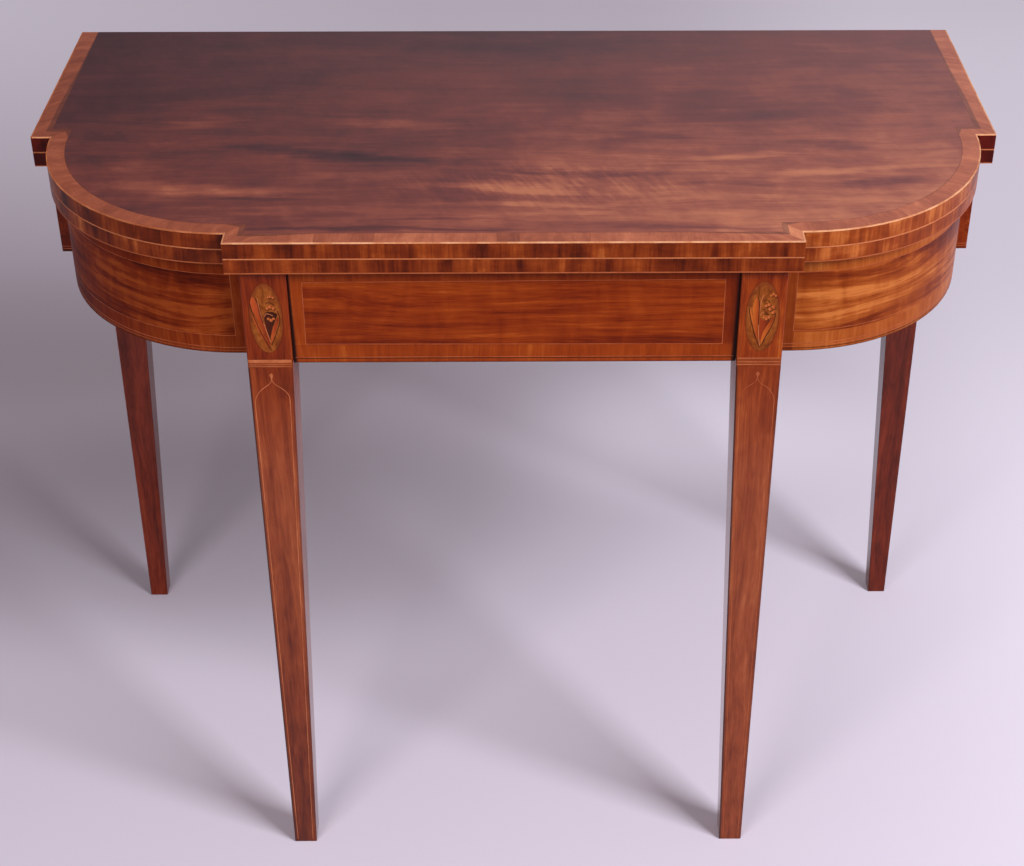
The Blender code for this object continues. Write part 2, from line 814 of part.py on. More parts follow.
def make_gate(side, gate):
    make_fly_rail(side, gate)
    make_rear_leg(side, gate)


def main():
    clear_scene()
    frame = add_holder("frame", (0, 0, 0))
    flap = add_holder("flap_axis", (0, hinge_y, hinge_z))
    make_frame(frame)
    make_flap(flap)
    make_hinges(frame, flap)
    for side in (-1, 1):
        gate = add_holder(f"{side_name(side)}_gate_axis", (side * gate_pin_offset, gate_middle_y, 0))
        make_gate(side, gate)


main()
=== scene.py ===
"""Looks of a folding card table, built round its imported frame."""

from math import cos, dist, pi, sin, tau

import bmesh
import bpy
from mathutils import Matrix, Vector


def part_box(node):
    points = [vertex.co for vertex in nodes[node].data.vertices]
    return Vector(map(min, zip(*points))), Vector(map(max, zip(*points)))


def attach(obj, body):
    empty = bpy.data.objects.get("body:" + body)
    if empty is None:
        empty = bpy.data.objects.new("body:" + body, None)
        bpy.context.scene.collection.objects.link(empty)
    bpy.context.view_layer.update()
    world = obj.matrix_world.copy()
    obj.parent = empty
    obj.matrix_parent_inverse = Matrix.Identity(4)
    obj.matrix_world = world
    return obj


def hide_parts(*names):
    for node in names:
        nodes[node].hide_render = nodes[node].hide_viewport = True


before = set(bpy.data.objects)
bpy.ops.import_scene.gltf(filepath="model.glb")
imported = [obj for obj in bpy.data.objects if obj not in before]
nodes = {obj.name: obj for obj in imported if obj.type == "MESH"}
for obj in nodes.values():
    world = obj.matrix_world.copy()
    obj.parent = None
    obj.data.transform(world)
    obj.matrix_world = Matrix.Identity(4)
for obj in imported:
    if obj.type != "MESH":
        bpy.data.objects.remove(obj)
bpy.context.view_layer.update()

# Plan of the top, as in the frame
TOP_HALF = 0.4575
FRONT_Y = -0.230925
BACK_Y = 0.226575
EAR_WIDTH = 0.0187
FRONT_STEP = 0.0175
CORNER_RADIUS = 0.1885
FRONT_HALF = TOP_HALF - EAR_WIDTH - CORNER_RADIUS
EAR_X = TOP_HALF - EAR_WIDTH
EAR_Y = FRONT_Y + FRONT_STEP + CORNER_RADIUS
TOP_Z = 0.74
CROSSBAND_OUTER = 0.0013
CROSSBAND_INNER = 0.0172
CROSSBAND_THICKNESS = 0.0012
CROSSBAND_JOINT = 0.00012
BAIZE_BORDER = 0.042
BAIZE_BACK_BORDER = 0.01
BAIZE_GAP = 0.0001
BAIZE_SHORTEST_EDGE = 0.0005

# Places in half_outline's list of points
ARC_STEPS = 32
ARC_START = 3
STEP_CORNER = ARC_START + ARC_STEPS + 1
FRONT_CORNER = STEP_CORNER + 1

# Frieze and legs
FRIEZE_LOW = 0.611
FRIEZE_HIGH = 0.709
RAIL_LOW = 0.6092
RAIL_FACE_Y = -0.216525
LEG_FACE_Y = -0.221525
LEG_OUTER_X = 0.2393
LEG_INNER_X = 0.1988
LEG_MIDDLE_X = (LEG_OUTER_X + LEG_INNER_X) / 2
HEAD_LOW = FRIEZE_LOW - 0.004
FOOT_WIDTH = 0.0232
APRON_RADIUS = 0.1777
APRON_FACE_Y = EAR_Y - APRON_RADIUS
SIDE_RAIL_FRONT_Y = EAR_Y + 0.0094
SIDE_RAIL_OUTER_X = 0.4465
VENEER = 0.002

OVAL_Z = 0.6588
OVAL_HALF_WIDTH = 0.01475
OVAL_HALF_HEIGHT = 0.036

# The frieze's fields inside their borders: half width, and lowest and highest place
RAIL_PANEL = 0.1858
RAIL_FIELD = (0.628, 0.6935)
APRON_FIELD = (0.63, 0.6935)
APRON_BORDER = 0.0008

# Stringing
FORWARD = Vector((0, -1, 0))
STRING_WIDTH = 0.0008
FINE_LINE = 0.0006
STRING_PROUD = 0.00006
STRING_SUNK = 0.0002
SMOOTH_STEPS = 4
RAIL_END = 0.1965
RAIL_LINE_Z = 0.6147
RAIL_PANEL_LINE = [(-0.1864, 0.6288), (RAIL_PANEL, 0.6276), (0.1853, 0.6943), (-0.186, 0.6925)]
APRON_DIRT_Z = 0.6148
APRON_HIGH_LINE_Z = 0.6931
# Heights of an apron's lower panel line and of the broader line below it
APRON_LINES = {-1: (0.6294, 0.6166), 1: (0.6323, 0.6186)}
APRON_PAIR_GAP = 0.003
APRON_LINE_START = 0.0028
APRON_UPRIGHT_X = FRONT_HALF + 0.0005
SIDE_RAIL_LINES_Z = (0.6168, 0.6142)
SIDE_RAIL_LINE_X = (SIDE_RAIL_OUTER_X - 0.0215, SIDE_RAIL_OUTER_X - 0.0003)
# The pointed head of a leg's stringing, as (across from the leg's middle, height)
OGEE = [
    (0, 0.5942), (0.0014, 0.5908), (0.004, 0.5879), (0.0085, 0.5845), (0.0122, 0.5806), (0.0145, 0.5766),
]
# Heights of the bend below it, and its insets from the leg's edges
LINE_BEND_Z = (0.5715, 0.565)
OUTER_INSETS = (0.0038, 0.0035)
INNER_INSETS = (0.0042, 0.004)
LINE_FOOT_Z = 0.004
LOZENGE_Z = (0.6012, 0.599, 0.5935)
LOZENGE_HALF = 0.0018
BAND_LINE_INSET = 0.0008
# Height and width of each light line of the legs' bands
BAND_LINES = {
    -1: [(0.6137, 0.0034), (0.6101, FINE_LINE), (0.6081, FINE_LINE)],
    1: [(0.6153, FINE_LINE), (0.6113, FINE_LINE), (0.6086, FINE_LINE)],
}

# Marquetry: how far each layer stands proud, and the widths of its lines
HEART_PROUD = 0.00002
SHADE_PROUD = 0.00003
LEAF_PROUD = 0.00004
BELL_PROUD = 0.00007
STEM_WIDTH = 0.0005
DARK_WIDTH = 0.0007
BELL_STEPS = 10
BELL_SQUASH = 0.42
SHADE_OFFSET = 0.02
SHADE_GROWTH = 0.12

# Camera, as solved from the photograph's straight lines
PHOTO_WIDTH = 1024
PHOTO_HEIGHT = 866
FOCAL_PIXELS = 1873.2566
CENTRE_PIXELS = (537.4985, 368.6)
CAMERA_PLACE = Vector((0.0083, -1.631625, 1.5242))
CAMERA_PITCH = 0.5777
CAMERA_YAW = 0.0086
CAMERA_ROLL = 0.0008
SENSOR_WIDTH = 36

# Studio
BACKDROP = (0.905, 0.868, 1)
BACKDROP_LEVEL = 0.5
FLOOR_LIGHT = (0.747, 0.706, 0.856)
FLOOR_DARK = (0.719, 0.678, 0.828)
# Grey of the floor's painted shade, under the lamps and behind the table
FLOOR_PAINTED_SHADE = (0.16, 0.145, 0.175)
FLOOR_REACH = 30
FLOOR_GAP = 0.0002
ROOM_LEFT = (0.16, 0.145, 0.18)
ROOM_RIGHT = (0.78, 0.72, 0.84)
ROOM_SOFT = (0.19, 0.157, 0.15)


# Materials


def operator(operation):
    """A method that puts its value and another through a Math node."""
    return lambda self, other: self.graph.math(operation, self, other)


class Value:
    """A number, place or colour made by a node. Arithmetic, a test or a call on it adds another node.

    The sign | takes the larger of two values, which is "or" for masks that run from 0 to 1.
    """

    def __init__(self, graph, socket):
        self.graph = graph
        self.socket = socket

    __add__ = operator("ADD")
    __radd__ = __add__
    __sub__ = operator("SUBTRACT")
    __mul__ = operator("MULTIPLY")
    __truediv__ = operator("DIVIDE")
    __lt__ = operator("LESS_THAN")
    __gt__ = operator("GREATER_THAN")
    __or__ = operator("MAXIMUM")

    def __rsub__(self, other):
        return self.graph.math("SUBTRACT", other, self)

    def __abs__(self):
        return self.graph.math("ABSOLUTE", self)

    def fit(self, low, high, to_low=0, to_high=1, smooth=False):
        """The value taken from one range to another, and kept inside it."""
        kind = "SMOOTHSTEP" if smooth else "LINEAR"
        inputs = {0: self, 1: low, 2: high, 3: to_low, 4: to_high}
        return self.graph.node("ShaderNodeMapRange", inputs, interpolation_type=kind)

    def moved(self, by):
        """The sum of two vectors."""
        return self.graph.node("ShaderNodeVectorMath", {0: self, 1: by}, operation="ADD")

    def noise(self, stretch, detail=2, roughness=0.5, distortion=0):
        """Noise at a place; stretch says how fine it is along each axis."""
        vector = self.graph.node("ShaderNodeVectorMath", {0: self, 1: stretch}, operation="MULTIPLY")
        numbers = {"Scale": 1, "Detail": detail, "Roughness": roughness, "Distortion": distortion}
        return self.graph.node("ShaderNodeTexNoise", {"Vector": vector, **numbers}, "Fac")

    def swing(self, weight, *settings):
        """Noise about 0, as strong as weight."""
        return (self.noise(*settings) - 0.5) * weight

    def mix(self, a, b):
        """The colour a where the value is 0, and b where it is 1."""
        a, b = (colour if isinstance(colour, Value) else (*colour, 1) for colour in (a, b))
        return self.graph.node("ShaderNodeMix", {0: self, 6: a, 7: b}, 2, data_type="RGBA")

    def ramp(self, colours):
        """The value's colour on a ramp with stops of (position, colour)."""
        result = self.graph.node("ShaderNodeValToRGB", {0: self})
        stops = result.socket.node.color_ramp.elements
        while len(stops) < len(colours):
            stops.new(0.5)
        for stop, (position, colour) in zip(stops, colours):
            stop.position = position
            stop.color = (*colour, 1)
        return result


class Graph:
    """A node tree whose nodes are added by short calls; each call returns a Value."""

    def __init__(self, tree):
        self.tree = tree

    def node(self, kind, inputs, output=0, **settings):
        """Adds a node with its settings and inputs, and returns one of its outputs."""
        node = self.tree.nodes.new(kind)
        for key, value in settings.items():
            setattr(node, key, value)
        for key, value in inputs.items():
            self.feed(node.inputs[key], value)
        return Value(self, node.outputs[output])

    def feed(self, socket, value):
        """Links a Value to a socket, or sets a plain number or colour on it."""
        if isinstance(value, Value):
            self.tree.links.new(value.socket, socket)
        else:
            socket.default_value = value

    def math(self, operation, *values):
        """A Math node's result."""
        return self.node("ShaderNodeMath", dict(enumerate(values)), operation=operation)

    def join(self, x, y, z):
        """A vector made of three values."""
        return self.node("ShaderNodeCombineXYZ", {0: x, 1: y, 2: z})

    def split(self, vector):
        """The three values of a vector."""
        return [self.node("ShaderNodeSeparateXYZ", {0: vector}, axis) for axis in "XYZ"]

    def place(self, kind="Object"):
        """Where a point of the surface is, in coordinates of a kind."""
        return self.node("ShaderNodeTexCoord", {}, kind)

    def axes(self, order="XYZ"):
        """The object's own coordinates, in the given order."""
        parts = self.split(self.place())
        return [parts["XYZ".index(letter)] for letter in order]

    def ray(self, kind):
        """1 on a ray of a kind such as Camera, and 0 on others."""
        return self.node("ShaderNodeLightPath", {}, f"Is {kind} Ray")


class Surface(Graph):
    """A material; settings are the numbers that are the same all over it."""

    def __init__(self, name, **settings):
        self.material = bpy.data.materials.new(name)
        self.material.use_nodes = True
        super().__init__(self.material.node_tree)
        self.inputs = self.tree.nodes["Principled BSDF"].inputs
        for key, value in settings.items():
            self.inputs[key.replace("_", " ").title().replace("Ior", "IOR")].default_value = value

    def attribute(self, name, output="Fac"):
        """A value stored on the mesh."""
        return self.node("ShaderNodeAttribute", {}, output, attribute_name=name)

    def polar(self):
        """Coordinates of a curved apron: along it, up, and out from the corner's centre."""
        x, y, z = self.axes()
        ahead = abs(x) - FRONT_HALF
        out = EAR_Y - y
        return [self.math("ARCTAN2", ahead, out) * APRON_RADIUS, z, reach(ahead, out)]

    def finish(self, colour, height=None, depth=0, roughness=None, coat=None):
        """Feeds the shader, with a bump of the given depth from height, and returns the material."""
        if height is not None:
            height = self.node("ShaderNodeBump", {"Height": height, "Distance": depth, "Strength": 1})
        fed = {"Base Color": colour, "Normal": height, "Roughness": roughness, "Coat Weight": coat}
        for key, value in fed.items():
            if value is not None:
                self.feed(self.inputs[key], value)
        return self.material


def reach(x, y):
    """How far the place (x, y) is from the origin."""
    return x.graph.node("ShaderNodeVectorMath", {0: x.graph.join(x, y, 0)}, "Value", operation="LENGTH")


def linear(*colour):
    """An 8-bit screen colour, made linear."""
    return tuple(v / 255 / 12.92 if v <= 10 else ((v / 255 + 0.055) / 1.055) ** 2.4 for v in colour)


def shades(*colours):
    """A ramp's stops for 8-bit colours, from the darkest grain to the lightest."""
    return [(i / (len(colours) - 1), linear(*colour)) for i, colour in enumerate(colours)]


TOP_PALETTE = shades((48, 20, 22), (78, 36, 34), (110, 51, 42), (145, 76, 57), (184, 111, 78))
RAIL_PALETTE = shades((62, 13, 2), (94, 26, 3), (120, 40, 5), (142, 57, 11), (172, 86, 28))
DEEP_PALETTE = shades((38, 7, 2), (62, 14, 3), (90, 26, 5), (116, 40, 9), (144, 64, 21))
EAR_PALETTE = shades((34, 4, 2), (58, 9, 4), (88, 18, 8))
GOLD_PALETTE = shades((82, 24, 5), (106, 38, 8), (130, 55, 14), (156, 78, 28), (184, 106, 50))
LEG_PALETTE = shades((84, 28, 9), (108, 42, 15), (130, 57, 24), (146, 70, 34), (166, 90, 50))
DARK_LEG_PALETTE = shades((64, 18, 7), (87, 28, 12), (110, 38, 18), (129, 50, 26), (152, 68, 40))
BAND_PALETTE = shades((38, 10, 3), (72, 21, 5), (106, 38, 9), (138, 60, 19), (178, 98, 46))
CROSS_PALETTE = shades((98, 42, 24), (130, 62, 36), (156, 80, 50), (182, 102, 68), (214, 134, 92))
OAK_PALETTE = shades((98, 66, 42), (128, 92, 62), (148, 112, 78), (170, 134, 98))
BURR_PALETTE = shades((98, 45, 12), (133, 67, 20), (158, 88, 34))
LINE_PALETTE = shades((112, 48, 24), (164, 86, 48), (200, 122, 80))
DULL_LINE_PALETTE = shades((98, 38, 17), (140, 64, 33), (172, 92, 54))
BRIGHT_LINE_PALETTE = shades((145, 74, 42), (203, 127, 84), (237, 177, 134))
BAIZE_STOPS = [(0.3, (0.01, 0.048, 0.018)), (0.5, (0.018, 0.082, 0.03)), (0.7, (0.036, 0.12, 0.046))]
# Colour of dirty veneer joints, also used as painted shade under the rail's top
VENEER_DIRT_AND_SHADE = linear(34, 10, 5)
# Colour of dirt and painted shade along the front legs' edges
LEG_EDGE_DIRT_AND_SHADE = linear(66, 24, 11)
CROSSBAND_DIRT = linear(60, 24, 16)
OVAL_RIM = linear(112, 46, 20)


def coated(specular, weight, roughness, ior):
    """Settings of wood under a thin clear coat."""
    coat = dict(coat_weight=weight, coat_roughness=roughness, coat_ior=ior)
    return dict(roughness=0.5, specular_ior_level=specular, **coat)


POLISH = coated(0.03, 0.4, 0.12, 1.29)
LEG_POLISH = coated(0.03, 1, 0.08, 1.32)
REAR_POLISH = coated(0.02, 1, 0.04, 1.28)
DULL_POLISH = coated(0.06, 0.85, 0.26, 1.36)
# Weaker coats: the wood round the baize, and the legs' heads
INSIDE_COAT = 0.3
HEAD_COAT = 0.5

# How far pores are stretched, and depths of bumps: pores, raw wood, the top, line inlay, fine surfaces, nap
PORES = (34, 900)
PORE_DEPTH = 0.00006
RAW_DEPTH = 0.0003
TOP_DEPTH = 0.00005
LINE_DEPTH = 0.00004
FINE_DEPTH = 0.00003
NAP_DEPTH = 0.0004


def grain(surface, parts, seed, broad=(2.2, 30), streak=(5, 120), figure=(60, 14), wander=0.01,
          weights=(0.5, 0.3, 0.12, 0.1)):
    """The tone of wood, about 0 to 1, and the height of its pores."""
    point = surface.join(*parts).moved((seed * 3.17, seed * 1.31, seed * 0.73))
    drift = point.swing(wander * 4, (3, 9, 9))
    point = point.moved(surface.join(0, drift, drift))
    layers = ((broad, 3, 0.55, 0.3), (streak, 4, 0.6, 0.2), (PORES, 3, 0.6), (figure, 2, 0.5, 0.6))
    tones = [point.noise((along, across, across), *rest) for (along, across), *rest in layers]
    total = 0.5
    for tone, weight in zip(tones, weights):
        total = total + (tone - 0.5) * (weight * 4)
    return total, tones[2]


def wood(name, palette, order, seed, polish=POLISH, depth=PORE_DEPTH, **figure):
    """Plain wood."""
    surface = Surface(name, **polish)
    tone, pores = grain(surface, surface.axes(order), seed, **figure)
    return surface.finish(tone.ramp(palette), pores, depth)


def raw_wood(name, order, seed):
    """Unpolished oak of the hidden parts."""
    figure = dict(broad=(1.5, 40), streak=(4, 210), weights=(0.35, 0.3, 0.25, 0.05))
    return wood(name, OAK_PALETTE, order, seed, dict(roughness=0.72), RAW_DEPTH, **figure)


def leg_edges(side, up, along, back):
    """Dirt and painted shade along the upright edges of a front leg's face, deeper on each leg's left edge,
    away from the key light.
    """
    outward = along * side
    inner_x = up.fit(0, FRIEZE_LOW, LEG_OUTER_X - FOOT_WIDTH, LEG_INNER_X)
    outer_share, inner_share = (0.95, 0.5) if side < 0 else (0.45, 0.95)
    outer = (LEG_OUTER_X - outward).fit(0.0009, 0.0023, outer_share, 0)
    inner = (outward - inner_x).fit(0.0009, 0.0023, inner_share, 0)
    front = (back - LEG_FACE_Y).fit(0.0005, 0.0018, 1, 0)
    return (outer | inner) * front


def leg_wood(name, palette, head_palette, seed, side, worn, polish=LEG_POLISH):
    """Leg wood under a veneered head; worn says how much darker the foot, the leg above it,
    the head's left edge, its right edge and, on top of those, its upper end are; on the head this is painted
    light and shade, lighter towards the key light on the right and darker under the top."""
    surface = Surface(name, **polish)
    up, along, back = parts = surface.axes("ZXY")
    figure = dict(broad=(2.4, 60), streak=(7, 190), figure=(36, 110), weights=(0.28, 0.2, 0.18, 0.13))
    tone, pores = grain(surface, parts, seed, **figure)
    foot, above_foot, head_left, head_right, head_end = worn
    leg_tone = tone - (up.fit(0.07, 0.33, foot, above_foot) + up.fit(0.53, 0.6, 0, 0.08))
    warm = up.fit(0.46, 0.6, 0, 0.6)
    leg = warm.mix(leg_tone.ramp(palette), leg_tone.ramp(head_palette))
    # Dirt and painted shade along the face's upright edges.
    leg = leg_edges(side, up, along, back).mix(leg, LEG_EDGE_DIRT_AND_SHADE)
    left_x, right_x = sorted((side * LEG_INNER_X, side * LEG_OUTER_X))
    # Painted light and shade on the head: lighter towards the key light on the right, darker under the top's
    # edge.
    painted_head_shade = along.fit(left_x, right_x, head_left, head_right) + up.fit(0.688, FRIEZE_HIGH, 0, head_end)
    head = (tone - painted_head_shade).ramp(head_palette)
    coat = up.fit(0.5, 0.6, polish["coat_weight"], HEAD_COAT)
    return surface.finish((up > HEAD_LOW).mix(leg, head), pores, PORE_DEPTH, coat=coat)


def veneered(name, palette, order, seed, masks, lift=None, coat=0.4, curved=False, **figure):
    """Veneer on the show face, with its border crossbanded, its joints dirty and painted shade where masks
    put it, and raw wood behind.

    masks says where border, darkening (dirty joints and painted shade) and raw wood are, and lift how much
    lighter field and border are, in places as painted light and shade.
    """
    surface = Surface(name, **dict(POLISH, coat_weight=coat))
    along, up, out = parts = surface.polar() if curved else surface.axes(order)
    border, darkening, inside = masks(*parts)
    field, pores = grain(surface, parts, seed, **figure)
    across = dict(broad=(6, 34), streak=(12, 170), weights=(0.16, 0.14, 0.08, 0.06))
    band, _ = grain(surface, [up, along, out], seed + 5, **across)
    if lift:
        field_lift, band_lift = lift(along, up)
        field = field + field_lift
        band = band + band_lift
    face = border.mix(field.ramp(palette), band.ramp(palette))
    # The face darkens where the mask says: dirty joints, painted shade under the rail's top, and dark lines
    # along lower edges.
    face = darkening.mix(face, VENEER_DIRT_AND_SHADE)
    raw, _ = grain(surface, surface.axes(order), seed + 9, broad=(1.5, 40), streak=(4, 210))
    return surface.finish(inside.mix(face, raw.ramp(OAK_PALETTE)), pores, PORE_DEPTH)


def outside(value, low, high):
    """1 where the value is under low or over high."""
    return (value < low) | (value > high)


def lower_edge(up, low, line):
    """The dark lines under the light one: the joint of the bottom bead, and a darker strip along the lowest
    edge.
    """
    joint = up.graph.math("COMPARE", up, line - 0.0011, 0.0005)
    return joint * 0.75 | up.fit(low, low + 0.0014, 0.8, 0)


def rail_masks(along, up, out):
    """The rail's border, where it is darkened (its dirty joints, painted shade under the top, and dark lines
    on its lower edge), and raw wood.
    """
    border = outside(along, -RAIL_PANEL, RAIL_PANEL) | outside(up, *RAIL_FIELD)
    width = up.fit(FRIEZE_LOW, FRIEZE_HIGH, 0.0036, 0.0014)
    joint = ((LEG_INNER_X - abs(along)) / width).fit(0.6, 1.5, 1, 0, smooth=True)
    # Painted shade under the overhanging top, deepest at the rail's upper edge.
    painted_shade_under_top = up.fit(0.7, FRIEZE_HIGH, 0, 0.45)
    return border, joint | painted_shade_under_top | lower_edge(up, RAIL_LOW, RAIL_LINE_Z), out > RAIL_FACE_Y + VENEER


def apron_masks(along, up, out):
    """An apron's border, the dark lines on its lower edge, and raw wood."""
    border = (along < APRON_BORDER) | outside(up, *APRON_FIELD)
    return border, lower_edge(up, FRIEZE_LOW, APRON_DIRT_Z), out < APRON_RADIUS - VENEER


def side_masks(along, up, out):
    """A side rail's border, the dark lines on its lower edge, and raw wood."""
    inside = (along > SIDE_RAIL_FRONT_Y + VENEER) * (abs(out) < SIDE_RAIL_OUTER_X - VENEER)
    return outside(up, *APRON_FIELD), lower_edge(up, FRIEZE_LOW, APRON_DIRT_Z), inside


def rail_lift(along, up):
    """The rail's field is lighter at its top, and its border below; the rest of the border is lighter at the
    left end and darker at the right end, as painted shade.
    """
    low = up.fit(0.626, 0.63, 0.17, 0)
    # Painted shade: the border darkens from the left end to the right end.
    beside = along.fit(-0.19, 0.19, 0.2, -0.04) * (up > RAIL_FIELD[0])
    return up.fit(0.635, 0.69, -0.05, 0.13), low + beside


def left_apron_lift(along, up):
    """The left apron is lighter near the leg, and its border more so: painted light near the leg, and
    painted shade further round the curve, which turns away from the key light.
    """
    border = along.fit(0, 0.05, 0.26, 0.36) * along.fit(0.09, 0.18, 1, 0)
    return along.fit(0, 0.15, 0.34, -0.08), border


def right_apron_lift(along, up):
    """The right apron's lower border is lighter, not the upright one beside the leg."""
    return along.fit(0, 0.12, 0.07, 0.02), along.fit(APRON_BORDER, 0.0012, -0.04, 0.22)


# The top's long streaks: centre and half sizes in mm, then slope and strength in hundredths
TOP_STREAKS = [
    (-150, -66, 170, 17, -16, -34),
    (60, -100, 150, 8, -4, -26),
    (-280, 50, 100, 22, 0, 14),
    (-110, 0, 130, 14, -10, 16),
    (-280, -132, 140, 16, -8, 28),
    (-190, -172, 120, 12, 0, 14),
    (-390, -80, 60, 22, 10, -16),
    (-340, -172, 50, 20, 10, -16),
    (10, -130, 90, 16, -6, 30),
    (120, -185, 180, 18, 0, 14),
    (60, 80, 110, 70, 0, -12),
    (117, -26, 50, 16, 0, -16),
    (297, -43, 55, 22, 0, -20),
    (200, -70, 90, 10, 10, 22),
    (310, -98, 110, 10, 6, 24),
    (346, -120, 60, 12, 5, -30),
    (200, -125, 100, 8, 2, -16),
    (386, 60, 50, 60, 0, 10),
    (-300, 10, 50, 20, 0, 22),
    (190, 40, 110, 50, 0, -14),
    (-120, -207, 150, 5, 0, -30),
    (150, -205, 100, 6, 0, -26),
    (30, -160, 120, 10, 0, 20),
    (-50, -188, 60, 4, 0, -20),
    (-220, -150, 60, 6, -5, -18),
    (20, 170, 170, 60, 0, -10),
]


def top_streaks(along, across):
    """How much lighter or darker the streaks make the top."""
    total = 0
    for x, y, half_length, half_width, slope, strength in TOP_STREAKS:
        ahead = along - x / 1000
        aside = across - y / 1000 - ahead * (slope / 100)
        away = reach(ahead / (half_length / 1000), aside / (half_width / 1000))
        total = total + away.fit(0.15, 1, strength / 100, 0, smooth=True)
    return total


def top_material():
    """Veneer with long soft streaks, lighter to the right and the front as painted light from the lamps at
    the right front, and mottled near the middle.
    """
    surface = Surface("top_veneer", **DULL_POLISH)
    place = surface.place()
    x, y, z = surface.split(place)
    grainwise = surface.join(x, y + place.swing(0.06, (2.5, 7, 1)), z)
    layers = (
        ((2.6, 11, 1), 3, 0.5, 0.62),
        ((5, 38, 1), 4, 0.6, 0.56),
        ((12, 110, 1), 4, 0.6, 0.36),
        ((38, 620, 1), 2, 0.5, 0.2),
        ((24, 22, 1), 3, 0.6, 0.52),
    )
    # Painted light: the tone rises to the right and towards the front.
    tone = 0.5 + x * 0.42 - y * 0.95
    calm = y.fit(-0.06, 0.1, 1, 0.55)
    for stretch, detail, roughness, weight in layers:
        tone = tone + grainwise.swing(weight, stretch, detail, roughness, 0.3) * calm
    streak_x = x + place.swing(0.16, (5, 60, 3), 3, 0.6)
    streak_y = y + place.swing(0.03, (9, 24, 1), 3, 0.6)
    mottled = reach((x - 0.03) * 0.3, y + 0.125).fit(0.012, 0.055, 0.6, 0.08, smooth=True)
    tone = tone + top_streaks(streak_x, streak_y)
    tone = tone + surface.join(x + y * 0.5, y, z).swing(mottled, (150, 34, 1), 2, 0.6)
    pores = grainwise.noise((60, 1500, 1), 2, 0.6)
    coat = z.fit(TOP_Z - 0.004, TOP_Z - 0.002, INSIDE_COAT, DULL_POLISH["coat_weight"])
    return surface.finish(tone.ramp(TOP_PALETTE), pores, TOP_DEPTH, coat=coat)


def edge_band_material(name, seed, lifts):
    """Vertical grain in soft patches of differing tone, as crossbanding has.

    lifts are (start, end, lift): to the right of end the band is that much lighter than left of start.
    """
    surface = Surface(name, **POLISH)
    place = surface.place()
    point = place.moved((seed, 0, 0))
    x, y, _ = surface.split(place)
    tone = x.fit(0.236, 0.262, 0.47, 0.76) + x.fit(-0.262, -0.236, 0.13, 0)
    for start, end, lift in lifts:
        tone = tone + x.fit(start, end, 0, lift)
    layers = (
        ((16, 16, 4), 2, 1.25),
        ((70, 70, 9), 3, 1.05),
        ((300, 300, 16), 3, 0.6),
        ((45, 45, 90), 3, 0.5),
    )
    for stretch, detail, weight in layers:
        tone = tone + point.swing(weight, stretch, detail, 0.6, 0.4)
    fine = point.noise((900, 900, 40), 2, 0.6)
    ear = abs(x).fit(EAR_X - 0.001, EAR_X + 0.001) * y.fit(EAR_Y + 0.002, EAR_Y + 0.005, 1, 0)
    colour = ear.mix(tone.ramp(BAND_PALETTE), tone.ramp(EAR_PALETTE))
    return surface.finish(colour, fine, LINE_DEPTH)


def crossband_material():
    """Grain across the band, from the coordinates and tones stored on its mesh."""
    surface = Surface("crossband_veneer", **DULL_POLISH)
    u, v, _ = surface.split(surface.attribute("band", "Vector"))
    tone = surface.attribute("tone")
    shift = tone * 37
    point = surface.join(u + shift, v, shift)
    point = point.moved(surface.join(point.swing(0.006, (30, 60, 1)), 0, 0))
    fine = point.noise((600, 40, 1))
    layers = (((95, 14, 1), 4, 0.72), ((34, 30, 1), 3, 0.6), ((150, 120, 1), 2, 0.3))
    for stretch, detail, weight in layers:
        tone = tone + point.swing(weight, stretch, detail, 0.6, 0.5)
    tone = tone + (fine - 0.5) * 0.22
    width = CROSSBAND_INNER - CROSSBAND_OUTER
    line = v.fit(width - 0.0007, width - 0.0002, 0, 0.55)
    return surface.finish(line.mix(tone.ramp(CROSS_PALETTE), CROSSBAND_DIRT), fine, TOP_DEPTH)


def inlay_tone(surface, wear):
    """The tone of line inlay, darker where it is worn and dirty, and the height of its fibres."""
    point = surface.place()
    darkening = point.noise((34, 34, 34), 4, 0.7)
    fibre = point.noise((700, 700, 700))
    return darkening.fit(0.36, 0.6, 0.75 - wear, 0.95) + (fibre - 0.5) * 0.5, fibre


def boxwood(name, palette, wear):
    """Pale line inlay."""
    surface = Surface(name, **POLISH)
    tone, fibre = inlay_tone(surface, wear)
    return surface.finish(tone.ramp(palette), fibre, LINE_DEPTH)


def arris_material():
    """The pale line along the top's edge. Its left end is darker, but not on the ear's front."""
    surface = Surface("arris_boxwood", **POLISH)
    tone, fibre = inlay_tone(surface, 0.3)
    x, y, _ = surface.axes()
    width = 0.0014
    front = (abs(y - EAR_Y) < width) * (x > width - TOP_HALF)
    dull = x.fit(-0.262, -0.24, 1, 0) * (1 - front)
    colour = dull.mix(tone.ramp(BRIGHT_LINE_PALETTE), tone.ramp(LINE_PALETTE))
    return surface.finish(colour, fibre, LINE_DEPTH)


def marquetry_ground():
    """Olive-brown burr, darker and redder at the oval's worn rim."""
    surface = Surface("marquetry_ground", **POLISH)
    point = surface.place()
    x, _, z = surface.split(point)
    across = (abs(x) - LEG_MIDDLE_X) / OVAL_HALF_WIDTH
    up = (z - OVAL_Z) / OVAL_HALF_HEIGHT
    curl = point.noise((160, 160, 90), 4, 0.6, 1.2)
    burr = curl.fit(0.3, 0.7).ramp(BURR_PALETTE)
    rim = reach(across, up).fit(0.8, 1, 0, up.fit(-1, 0, 0.3, 0.7), smooth=True)
    return surface.finish(rim.mix(burr, OVAL_RIM), curl, FINE_DEPTH)


